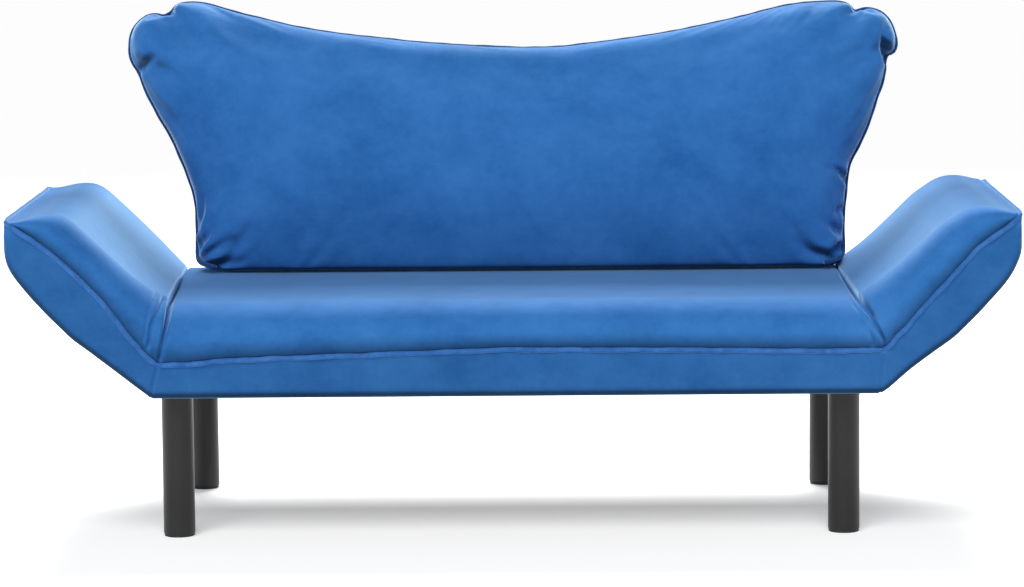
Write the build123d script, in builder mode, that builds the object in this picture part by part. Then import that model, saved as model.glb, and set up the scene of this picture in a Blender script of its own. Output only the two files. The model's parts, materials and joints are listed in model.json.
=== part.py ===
from build123d import *
import os
from math import cos, radians, sin, sqrt, tan

# Futon sofa bed: a padded seat on four round legs, two arms that fold down level with the seat,
# and a wing-shaped back cushion that reclines flat behind it.
# Units are millimetres. X runs along the seat, -Y is the front and Z is up. The origin is on the
# floor, under the middle of the whole object.

# ---- overall sizes ----
seat_length = 1136.0  # along the underside, between the corners where the raised arms start
seat_depth = 600.0
underside_height = 228.0  # floor to the underside of the seat
pad_thickness = 147.0
arm_length = 350.0  # from the bottom corner of the seat to the tip of the arm
back_height = 560.0  # from the back hinge to the top of the wings, measured up the lean

# ---- how the arms and the back stand ----
arm_angle = 45.0  # raised arm above level
back_lean = 15.0  # back cushion behind upright
catch_pitch = 15.0  # one click of every ratchet
arm_catches = 4
back_catches = 6

# ---- padded pieces ----
cover_thickness = 2.0
foam_clearance = 0.2
front_edge_radius = 55.0
arm_edge_radius = 48.0
bottom_edge_radius = 12.0
arm_belly = 16.0  # how far the underside of an arm hangs below a straight line
arm_belly_place = 0.56  # deepest point of that sag, as a share of the way to the tip
arm_tip_curve = 32.0  # length of the lower curve at the tip
arm_tip_rise = 42.0  # and its height
arm_tip_lean = 7.0  # the tip leans back by this between its two curves
arm_crown_length = 60.0  # length of the upper curve at the tip
arm_crown_drop = 51.0  # and its height
arm_crown_shoulder = 15.0  # middle of the upper curve below the top of the arm
piping_diameter = 8.0
piping_proud = 3.5
piping_start = 14.0  # arm piping begins this far out from the hinge
piping_corner = 12.0  # radius at which it turns round the tip
piping_end_gap = 6.0  # seat piping short of the bevelled end
seat_piping_rise = 70.0  # underside to the middle of the piping
arm_piping_rise = 39.0
crease_clearance = 0.5  # from the hinge axis to each pad
crease_angle = 1.0  # left open between the raised arm and the seat

# ---- back cushion ----
back_front = 104.5  # in front of the line from hinge to wing top
back_rear = 35.0  # behind it
back_seat_gap = 1.0
foot_clearance = 3.3  # foot of the cushion inside the crease at each raised arm
foot_drop = 43.0  # the outline runs down this far below the seat's top before the level cut
foot_straight = 75.0  # height of its straight foot
waist_low = 120.0  # the narrow waist begins this far above the foot
waist_high = 175.0  # and ends here
waist_bend = 7.0
waist_flare = 42.0  # waist wider than the foot, at each side
wing_flare = 147.0  # wings wider than the foot, at each side
wing_side_drop = 125.0  # lower end of a wing's upright side below its top
wing_side_lean = 12.0
wing_shoulder_drop = 60.0
wing_bevel = 50.0
wing_crown = 112.0  # where the top of a wing starts to fall towards the dip
wing_dip = 81.0  # middle of the top edge below the wing tops
wing_lobe_width = 152.0
wing_corner_radius = 22.0
back_edge_radius = 42.0

# ---- steel frame, slats and legs ----
tube_width = 40.0
tube_height = 20.0
tube_wall = 2.0
leg_inset = 41.0  # leg axis inside the bottom corner of the seat
tube_behind_pivot = 10.5  # front face of the rear tube behind the back hinge axis
pivot_above_frame = 19.0  # back hinge axis above the top of the seat frame
leg_diameter = 50.0
leg_wall = 5.0
leg_top_thickness = 16.0
leg_chamfer = 1.0
glide_height = 4.0
glide_plug = 12.0  # plug of a glide, inside the hollow leg
stud_diameter = 8.0
stud_reach = 18.0
stud_tail = 6.0  # stud below the solid top of the leg
plate_thickness = 3.0
liner_border = 25.0
slat_width = 60.0
slat_thickness = 8.0
slat_pitch = 100.0
slat_corner = 6.0
slat_end_gap = 3.0  # slats short of each side of their frame
screw_radius = 2.5
screw_head_height = 1.5
seat_slat_count = 10
arm_slat_count = 3
arm_tube_width = 30.0
arm_frame_start = 35.0
arm_frame_margin = 42.0  # arm frame short of the arm tip
back_tube_diameter = 25.0
back_tube_wall = 1.5
back_frame_inset = 46.0
strap_width = 50.0
strap_thickness = 2.0
strap_pitch = 150.0
strap_count = 5
frame_above_seat = 32.0  # lower back tube above the seat's top, measured up the lean
frame_upright = 95.0  # straight part of the back tube at each end
frame_shoulder = 60.0  # straight part at the side of each wing
frame_crown = 120.0  # level part in the top of each wing
frame_dip_run = 220.0  # where the tube reaches its dip, in from each side
frame_bend_radius = 30.0
chamber_margin = 25.0  # foam left outside the chamber of the back frame

# ---- hinges and ratchets ----
arm_hinge_rise = 30.0  # hinge axis above the underside
leaf_thickness = 3.0
leaf_gap = 0.5
head_radius = 20.0
notch_root_radius = 16.4
notch_width = 3.6
pin_diameter = 8.0
pin_head_radius = 7.0
pin_head_thickness = 3.0
running_clearance = 0.1
bolt_diameter = 6.0
bolt_head_radius = 5.5
bolt_head_thickness = 4.0
bolt_tail = 4.0  # bolt past the wall it clamps
plate_bolt_reach = (55.0, 40.0)  # bolts of a fixed plate, in from the hinge axis
leaf_bolt_reach = (80.0, 125.0)  # bolts of a moving leaf, out from the hinge axis
plate_near, plate_far = 4.0, 64.0  # foot of a fixed plate, in from the hinge axis
leaf_near, leaf_far = 60.0, 140.0  # foot of a moving leaf, out from the hinge axis
back_bar_x = 400.0
back_bar_thickness = 6.0
back_bar_height = 16.0
pawl_pivot_back = 27.0  # pawl pin behind the hinge axis, away from the teeth
pawl_pivot_drop = 22.0  # and below it
pawl_boss_radius = 5.0
pawl_pin_diameter = 5.0
pawl_lift = 0.6  # nose clear of the teeth while the pawl is lifted
pawl_nose_length = 3.6
pawl_nose_low, pawl_nose_high = 0.3, 1.9
hinge_pocket_radius = 26.0
slot_clearance = 3.0
pocket_room = 8.0  # foam clear of the leaves, on their outer side
back_plate_foot = 40.0  # foot of a back plate in front of the hinge axis

# ---- places worked out from the sizes ----
seat_top = underside_height + pad_thickness
nose_radius = pad_thickness - cover_thickness - plate_thickness - tube_height - pivot_above_frame
back_pivot_z = seat_top - nose_radius
lean_sin, lean_cos = sin(radians(back_lean)), cos(radians(back_lean))
rear_reach = back_height * lean_sin + back_rear * lean_cos
overall_depth = piping_proud + seat_depth - nose_radius + rear_reach
seat_front = piping_proud - overall_depth / 2
seat_rear = seat_front + seat_depth
seat_middle = (seat_front + seat_rear) / 2
back_pivot_y = seat_rear - nose_radius
nose_foot_y = back_pivot_y + sqrt(nose_radius**2 - (back_pivot_z - underside_height) ** 2)

arm_hinge_x = seat_length / 2 - arm_hinge_rise * tan(radians(arm_angle / 2))
arm_hinge_z = underside_height + arm_hinge_rise
pad_end_x = arm_hinge_x - crease_clearance
bevel = tan(radians((arm_angle + crease_angle) / 2))
arm_tip = arm_length - arm_hinge_rise * tan(radians(arm_angle / 2))
arm_top = pad_thickness - arm_hinge_rise
arm_sin, arm_cos = sin(radians(arm_angle)), cos(radians(arm_angle))
crease_x = arm_hinge_x + (crease_clearance + arm_top * bevel) * arm_cos - arm_top * arm_sin
foot_half_width = crease_x - foot_clearance
waist_half_width = foot_half_width + waist_flare
wing_half_width = foot_half_width + wing_flare
foot_level = nose_radius - foot_drop

leg_x = seat_length / 2 - leg_inset
leg_y = seat_depth / 2 - nose_radius + tube_behind_pivot + tube_width / 2
leg_places = [(sx * leg_x, seat_middle + sy * leg_y) for sy in (-1, 1) for sx in (-1, 1)]
frame_bottom = underside_height + cover_thickness + plate_thickness
frame_top = frame_bottom + tube_height
slat_top = frame_top + slat_thickness
frame_half_x = leg_x + tube_width / 2
frame_half_y = leg_y + tube_width / 2
leaf_inner_y = frame_half_y + plate_thickness + leaf_gap
leaf_outer_y = leaf_inner_y + leaf_thickness
pocket_half_y = leaf_outer_y + pocket_room
arm_frame_low = frame_bottom - arm_hinge_z
arm_frame_end = arm_tip - arm_frame_margin
back_axis = (0, back_pivot_y, back_pivot_z)

# Planes that lie along the leaning back: its face, and its side section.
back_plane = Plane(origin=back_axis, x_dir=(1, 0, 0), z_dir=(0, -lean_cos, lean_sin))
back_section = Plane(origin=back_axis, x_dir=(0, -lean_cos, lean_sin), z_dir=(-1, 0, 0))


def arm_side_plane(side, y=0.0):
    """Side view of a raised arm: x runs out along the arm, y through its thickness."""
    origin = (side * arm_hinge_x, seat_middle + y, arm_hinge_z)
    return Plane(origin=origin, x_dir=(side * arm_cos, 0, arm_sin), z_dir=(0, -side, 0))


def arm_cross_plane(side):
    """Cross-section of a raised arm: x runs along the depth, y through the thickness."""
    origin = (side * arm_hinge_x, seat_middle, arm_hinge_z)
    return Plane(origin=origin, x_dir=(0, side, 0), z_dir=(side * arm_cos, 0, arm_sin))


def arm_top_plane(side, height):
    """Plan view of a raised arm at a height above its hinge axis."""
    base = arm_side_plane(side)
    origin = base.origin + base.y_dir * height
    return Plane(origin=origin, x_dir=base.x_dir, z_dir=base.y_dir)


def seat_side_plane(side, y):
    """Side view of the seat's end: x runs outwards from the arm's hinge axis, y is up."""
    origin = (side * arm_hinge_x, seat_middle + y, arm_hinge_z)
    return Plane(origin=origin, x_dir=(side, 0, 0), z_dir=(0, -side, 0))


def back_side_plane(x):
    """Side view through the back hinge at x: x runs rearwards, y is up."""
    return Plane(origin=(x, back_pivot_y, back_pivot_z), x_dir=(0, 1, 0), z_dir=(1, 0, 0))


def finish(piece, label):
    """Name a finished sub-part and write it out."""
    piece.label = label
    export_step(piece, f"parts/{label}.step")


# ---- outer shapes of the padded pieces, at any inset ----
def seat_block(inset):
    """Seat pad: rounded front, a round nose behind and bevelled ends under the arms."""
    with BuildPart() as block:
        with BuildSketch(Plane.YZ):
            with BuildLine():
                Polyline(
                    (back_pivot_y, seat_top),
                    (seat_front, seat_top),
                    (seat_front, underside_height),
                    (nose_foot_y, underside_height),
                )
                ThreePointArc(
                    (nose_foot_y, underside_height),
                    (seat_rear, back_pivot_z),
                    (back_pivot_y, seat_top),
                )
            front = make_face().vertices().group_by(Axis.X)[0].sort_by(Axis.Y)
            fillet(front[-1], radius=front_edge_radius)
            low = vertices().group_by(Axis.Y)[0].sort_by(Axis.X)[0]
            fillet(low, radius=bottom_edge_radius)
            if inset:
                offset(amount=-inset, kind=Kind.INTERSECTION, mode=Mode.REPLACE)
        extrude(amount=seat_length, both=True)
        with BuildSketch(Plane.XZ):
            end_top = pad_end_x - arm_top * bevel
            with BuildLine():
                Polyline(
                    (0, underside_height),
                    (pad_end_x, underside_height),
                    (pad_end_x, arm_hinge_z),
                    (end_top, seat_top),
                    (0, seat_top),
                )
                mirror(about=Plane.YZ)
            make_face()
            if inset:
                offset(amount=-inset, kind=Kind.INTERSECTION, mode=Mode.REPLACE)
        extrude(amount=2 * seat_depth, both=True, mode=Mode.INTERSECT)
    return block.part


def arm_block(side, inset):
    """Arm pad: bevelled where it meets the seat, bellied below and rounded at its tip."""
    low = -arm_hinge_rise
    deepest = low - arm_belly
    tip_low = (arm_tip - arm_tip_curve, low - arm_belly / 8)
    tip_out = (arm_tip, low + arm_tip_rise)
    tip_curve = (arm_tip - arm_tip_curve / 4, low + arm_tip_rise / 3)
    crown_out = (arm_tip - arm_tip_lean, arm_top - arm_crown_drop)
    crown_curve = (arm_tip - arm_crown_length / 3, arm_top - arm_crown_shoulder)
    crown_top = (arm_tip - arm_crown_length, arm_top)
    with BuildPart() as block:
        with BuildSketch(arm_side_plane(side)):
            with BuildLine():
                ThreePointArc((crease_clearance, low), (arm_belly_place * arm_tip, deepest), tip_low)
                ThreePointArc(tip_low, tip_curve, tip_out)
                Line(tip_out, crown_out)
                ThreePointArc(crown_out, crown_curve, crown_top)
                Polyline(
                    crown_top,
                    (crease_clearance + arm_top * bevel, arm_top),
                    (crease_clearance, 0),
                    (crease_clearance, low),
                )
            make_face()
            if inset:
                offset(amount=-inset, kind=Kind.INTERSECTION, mode=Mode.REPLACE)
        extrude(amount=seat_depth, both=True)
        with BuildSketch(arm_cross_plane(side)):
            height = arm_top - deepest
            with Locations((0, deepest + height / 2)):
                Rectangle(seat_depth, height)
            fillet(vertices().group_by(Axis.Y)[-1], radius=arm_edge_radius)
            fillet(vertices().group_by(Axis.Y)[0], radius=bottom_edge_radius)
            if inset:
                offset(amount=-inset, kind=Kind.INTERSECTION, mode=Mode.REPLACE)
        extrude(amount=2 * arm_length, both=True, mode=Mode.INTERSECT)
    return block.part


def back_outline():
    """Face of the back cushion: narrow at the foot, flared to two wings with a dip between."""
    dip_start = (wing_half_width - wing_lobe_width, back_height - wing_dip / 7)
    dip_middle = back_height - wing_dip
    with BuildLine() as outline:
        Polyline(
            (0, foot_level),
            (foot_half_width, foot_level),
            (foot_half_width, foot_level + foot_straight),
            (waist_half_width - waist_bend, foot_level + waist_low),
            (waist_half_width, foot_level + waist_high),
            (wing_half_width - wing_side_lean, back_height - wing_side_drop),
            (wing_half_width, back_height - wing_shoulder_drop),
            (wing_half_width - wing_bevel, back_height),
            (wing_half_width - wing_crown, back_height),
            dip_start,
        )
        quarter = (dip_start[0] / 2, dip_middle + (dip_start[1] - dip_middle) / 4)
        ThreePointArc(dip_start, quarter, (0, dip_middle))
        mirror(about=Plane.YZ)
    make_face(outline.edges())
    upper = vertices().filter_by(lambda v: v.Y > foot_level + 1 and abs(v.X) > 1)
    fillet(upper, radius=wing_corner_radius)


def back_block(inset):
    """Back cushion: the wing outline, cut level where it stands on the seat."""
    level = seat_top + back_seat_gap - back_pivot_z

    def foot(forward):
        return (level - forward * lean_sin) / lean_cos

    with BuildPart() as block:
        with BuildSketch(back_plane):
            back_outline()
            if inset:
                offset(amount=-inset, kind=Kind.INTERSECTION, mode=Mode.REPLACE)
        extrude(amount=back_front + back_rear, both=True)
        with BuildSketch(back_section):
            with BuildLine():
                Polyline(
                    (-back_rear, foot(-back_rear)),
                    (back_front, foot(back_front)),
                    (back_front, back_height),
                    (-back_rear, back_height),
                    close=True,
                )
            make_face()
            face_corners = vertices().group_by(Axis.X)[-1].sort_by(Axis.Y)
            fillet(face_corners[0], radius=back_edge_radius / 2)
            face_corners = vertices().group_by(Axis.X)[-1].sort_by(Axis.Y)
            fillet(face_corners[-1], radius=back_edge_radius)
            if inset:
                offset(amount=-inset, kind=Kind.INTERSECTION, mode=Mode.REPLACE)
        extrude(amount=2 * wing_half_width, both=True, mode=Mode.INTERSECT)
    return block.part


# ---- shapes that every hinge repeats ----
def ratchet_notches(first_angle, catches):
    """Notches in a round hinge head, one for each catch, cut into the sketch in hand."""
    middle = (notch_root_radius + head_radius + 1) / 2
    length = head_radius + 1 - notch_root_radius
    for catch in range(catches):
        angle = first_angle + catch * catch_pitch
        place = (middle * cos(radians(angle)), middle * sin(radians(angle)))
        with Locations(Location((*place, 0), (0, 0, angle))):
            Rectangle(length, notch_width, mode=Mode.SUBTRACT)


def pawl_outline():
    """Lever with a boss at its pin and a narrow nose that drops into a notch."""
    nose_tip = -head_radius - pawl_lift
    nose_root = nose_tip - pawl_nose_length
    arm_width = pawl_boss_radius - 3
    with BuildLine() as lever:
        Polyline(
            (nose_tip, pawl_nose_low),
            (nose_tip, pawl_nose_high),
            (nose_root, pawl_nose_high),
            (nose_root - 2 * arm_width, pawl_nose_high),
            (nose_root - 3 * arm_width, -pawl_pivot_drop),
            (nose_root + arm_width / 10, -pawl_pivot_drop),
            (nose_root, pawl_nose_low),
            close=True,
        )
    make_face(lever.edges())
    with Locations((-pawl_pivot_back, -pawl_pivot_drop)):
        Circle(pawl_boss_radius)
        Circle(pawl_pin_diameter / 2 + running_clearance, mode=Mode.SUBTRACT)


def rivet(length, diameter):
    """Profile of a headed pin, to be revolved about its own axis."""
    half = length / 2
    with BuildLine() as profile:
        Polyline(
            (0, -half - pin_head_thickness),
            (pin_head_radius, -half - pin_head_thickness),
            (pin_head_radius, -half),
            (diameter / 2, -half),
            (diameter / 2, half),
            (pin_head_radius, half),
            (pin_head_radius, half + pin_head_thickness),
            (0, half + pin_head_thickness),
            close=True,
        )
    make_face(profile.edges())


os.makedirs("parts", exist_ok=True)

# ================= base: frame, legs and seat =================

# Steel tube frame: a rectangle over the legs with three cross tubes.
cross_tube_places = [(x, seat_middle) for x in (-2 * slat_pitch, 0, 2 * slat_pitch)]
inner_length = 2 * frame_half_x - 2 * tube_width
inner_depth = 2 * frame_half_y - 2 * tube_width
hinge_bolt_x = [arm_hinge_x - reach for reach in plate_bolt_reach]
bolt_level = frame_bottom + tube_height / 2
with BuildPart() as seat_frame:
    with BuildSketch(Plane.XY.offset(frame_bottom)):
        with Locations((0, seat_middle)):
            Rectangle(2 * frame_half_x, 2 * frame_half_y)
            Rectangle(inner_length, inner_depth, mode=Mode.SUBTRACT)
        with Locations(*cross_tube_places):
            Rectangle(tube_width, inner_depth + 1)
    extrude(amount=tube_height)
    with BuildSketch(Plane.XY.offset(frame_bottom + tube_wall)):
        with Locations((0, seat_middle)):
            Rectangle(2 * (frame_half_x - tube_wall), 2 * (frame_half_y - tube_wall))
            Rectangle(inner_length + 2 * tube_wall, inner_depth + 2 * tube_wall, mode=Mode.SUBTRACT)
        with Locations(*cross_tube_places):
            Rectangle(tube_width - 2 * tube_wall, inner_depth + 2 * tube_wall + 1)
    extrude(amount=tube_height - 2 * tube_wall, mode=Mode.SUBTRACT)
    with Locations(*[(x, y, frame_bottom) for x, y in leg_places]):
        Cylinder(
            stud_diameter / 2 + running_clearance,
            tube_wall * 2,
            mode=Mode.SUBTRACT,
        )
    with BuildSketch(Plane.XZ.offset(-seat_middle)):
        with Locations(*[(side * x, bolt_level) for side in (-1, 1) for x in hinge_bolt_x]):
            Circle(bolt_diameter / 2 + running_clearance)
    extrude(amount=2 * seat_depth, both=True, mode=Mode.SUBTRACT)
finish(seat_frame.part, "seat_frame")

# Wooden slats across the frame. They leave a gap at each back hinge.
slat_places = [((i - (seat_slat_count - 1) / 2) * slat_pitch, seat_middle) for i in range(seat_slat_count)]
screw_places = [(x, y + side * leg_y) for x, y in slat_places for side in (-1, 1)]
with BuildPart() as seat_slats:
    with BuildSketch(Plane.XY.offset(frame_top)):
        with Locations(*slat_places):
            RectangleRounded(slat_width, 2 * (frame_half_y - slat_end_gap), slat_corner)
        with Locations(*screw_places):
            Circle(screw_radius + running_clearance, mode=Mode.SUBTRACT)
    extrude(amount=slat_thickness)
finish(seat_slats.part, "seat_slats")

with BuildPart() as slat_screws:
    with BuildSketch(Plane.XY.offset(frame_top)):
        with Locations(*screw_places):
            Circle(screw_radius)
    extrude(amount=slat_thickness)
    with BuildSketch(Plane.XY.offset(slat_top)):
        with Locations(*screw_places):
            Circle(2 * screw_radius)
    extrude(amount=screw_head_height)
finish(slat_screws.part, "slat_screws")

# Leg plates between the underside and the frame.
with BuildPart() as leg_plates:
    with BuildSketch(Plane.XY.offset(frame_bottom - plate_thickness)):
        with Locations(*leg_places):
            RectangleRounded(tube_width, tube_width, slat_corner)
            Circle(stud_diameter / 2 + running_clearance, mode=Mode.SUBTRACT)
    extrude(amount=plate_thickness)
finish(leg_plates.part, "leg_plates")

# Round hollow legs with a solid top that takes the stud.
leg_names = ("front_left_leg", "front_right_leg", "rear_left_leg", "rear_right_leg")
for label, (x, y) in zip(leg_names, leg_places):
    with BuildPart() as leg:
        with BuildSketch(Plane(origin=(x, y, glide_height))):
            Circle(leg_diameter / 2)
        extrude(amount=underside_height - glide_height)
        chamfer(leg.edges().group_by(Axis.Z)[0], length=leg_chamfer)
        with BuildSketch(Plane(origin=(x, y, glide_height))):
            Circle(leg_diameter / 2 - leg_wall)
        extrude(amount=underside_height - glide_height - leg_top_thickness, mode=Mode.SUBTRACT)
        with BuildSketch(Plane(origin=(x, y, underside_height))):
            Circle(stud_diameter / 2 + running_clearance)
        extrude(amount=-leg_top_thickness, mode=Mode.SUBTRACT)
    finish(leg.part, label)

with BuildPart() as leg_studs:
    with BuildSketch(Plane.XY.offset(underside_height - leg_top_thickness - stud_tail)):
        with Locations(*leg_places):
            Circle(stud_diameter / 2)
    extrude(amount=leg_top_thickness + stud_tail + stud_reach)
finish(leg_studs.part, "leg_studs")

with BuildPart() as leg_glides:
    with BuildSketch(Plane.XY):
        with Locations(*leg_places):
            Circle(leg_diameter / 2 - leg_chamfer)
    extrude(amount=glide_height)
    with BuildSketch(Plane.XY.offset(glide_height)):
        with Locations(*leg_places):
            Circle(leg_diameter / 2 - leg_wall - running_clearance)
    extrude(amount=glide_plug)
    chamfer(leg_glides.edges().group_by(Axis.Z)[0], length=leg_chamfer)
finish(leg_glides.part, "leg_glides")

# Pockets that the hinges need in the pads, shared by foam and covers.
with BuildPart() as arm_hinge_pockets:
    with BuildSketch(Plane.XZ.offset(-seat_middle)):
        with Locations((-arm_hinge_x, arm_hinge_z), (arm_hinge_x, arm_hinge_z)):
            Circle(hinge_pocket_radius)
    extrude(amount=pocket_half_y, both=True)
    with BuildSketch(Plane.XZ.offset(-seat_middle)):
        with Locations((-arm_hinge_x, arm_hinge_z), (arm_hinge_x, arm_hinge_z)):
            Circle(hinge_pocket_radius + 1)
    extrude(amount=frame_half_y - 2 * slot_clearance, both=True, mode=Mode.SUBTRACT)

bar_slot_width = back_bar_thickness + 2 * slot_clearance
bar_slot_reach = back_bar_height / 2 + 2
with BuildPart() as back_bar_slots:
    with BuildSketch(Plane.XZ.offset(bar_slot_reach - back_pivot_y)):
        with Locations((-back_bar_x, seat_top), (back_bar_x, seat_top)):
            Rectangle(bar_slot_width, 2 * (nose_radius + bar_slot_reach))
    extrude(amount=-2 * nose_radius)

# Seat foam: stands over the frame and slats and wraps their edges.
frame_pocket_top = slat_top + slot_clearance
head_pocket = (28.0, 74.0)  # width and depth of the foam pocket round a back ratchet head
foam_inset = cover_thickness + foam_clearance
seat_foam_blank = seat_block(foam_inset)
with BuildPart() as seat_foam:
    add(seat_foam_blank)
    with BuildSketch(Plane.XY.offset(underside_height)):
        with Locations((0, seat_middle)):
            Rectangle(2 * frame_half_x + 2, 2 * pocket_half_y)
    extrude(amount=frame_pocket_top - underside_height, mode=Mode.SUBTRACT)
    add(arm_hinge_pockets.part, mode=Mode.SUBTRACT)
    add(back_bar_slots.part, mode=Mode.SUBTRACT)
    with BuildSketch(Plane.XZ.offset(-seat_middle)):
        slot_middle = arm_hinge_x - plate_far / 2 + 2
        with Locations((-slot_middle, arm_hinge_z), (slot_middle, arm_hinge_z)):
            Rectangle(plate_far, 2 * (head_radius + 2))
    extrude(amount=pocket_half_y, both=True, mode=Mode.SUBTRACT)
    with BuildSketch(Plane.XY.offset(underside_height)):
        with Locations((-back_bar_x, back_pivot_y - 5), (back_bar_x, back_pivot_y - 5)):
            Rectangle(*head_pocket)
    extrude(amount=back_pivot_z + head_radius + 4 - underside_height, mode=Mode.SUBTRACT)
finish(seat_foam.part, "seat_foam")

# Seat cover: a fabric shell, open below inside a hem.
seat_outer = seat_block(0)
seat_inner = seat_block(cover_thickness)
opening_y = (seat_front + liner_border + nose_foot_y - liner_border) / 2
opening_length = 2 * (pad_end_x - liner_border / 2)
opening_depth = nose_foot_y - seat_front - 2 * liner_border
with BuildPart() as seat_cover:
    add(seat_outer)
    add(seat_inner, mode=Mode.SUBTRACT)
    with BuildSketch(Plane.XY.offset(underside_height)):
        with Locations((0, opening_y)):
            Rectangle(opening_length, opening_depth)
    extrude(amount=cover_thickness, mode=Mode.SUBTRACT)
    add(arm_hinge_pockets.part, mode=Mode.SUBTRACT)
    add(back_bar_slots.part, mode=Mode.SUBTRACT)
finish(seat_cover.part, "seat_cover")

# Dust cloth across the opening, with a hole at each leg.
with BuildPart() as underside_liner:
    with BuildSketch(Plane.XY.offset(underside_height)):
        with Locations((0, opening_y)):
            Rectangle(opening_length - 1, opening_depth - 1)
        with Locations(*leg_places):
            Circle(stud_diameter / 2 + 2 * running_clearance, mode=Mode.SUBTRACT)
    extrude(amount=cover_thickness)
finish(underside_liner.part, "underside_liner")

# Piping across the front of the seat.
seat_piping_z = underside_height + seat_piping_rise
seat_piping_half = pad_end_x - (seat_piping_z - arm_hinge_z) * bevel - piping_end_gap
with BuildPart() as seat_piping:
    with BuildSketch(Plane.YZ):
        with Locations((seat_front - piping_proud + piping_diameter / 2, seat_piping_z)):
            Circle(piping_diameter / 2)
    extrude(amount=seat_piping_half, both=True)
    add(seat_outer, mode=Mode.SUBTRACT)
finish(seat_piping.part, "seat_piping")

# ================= arm hinges =================
side_names = {-1: "left", 1: "right"}
leaf_layers = [(leaf_inner_y, 1), (-leaf_outer_y, -1)]
plate_layers = [frame_half_y, -frame_half_y - plate_thickness]

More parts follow.
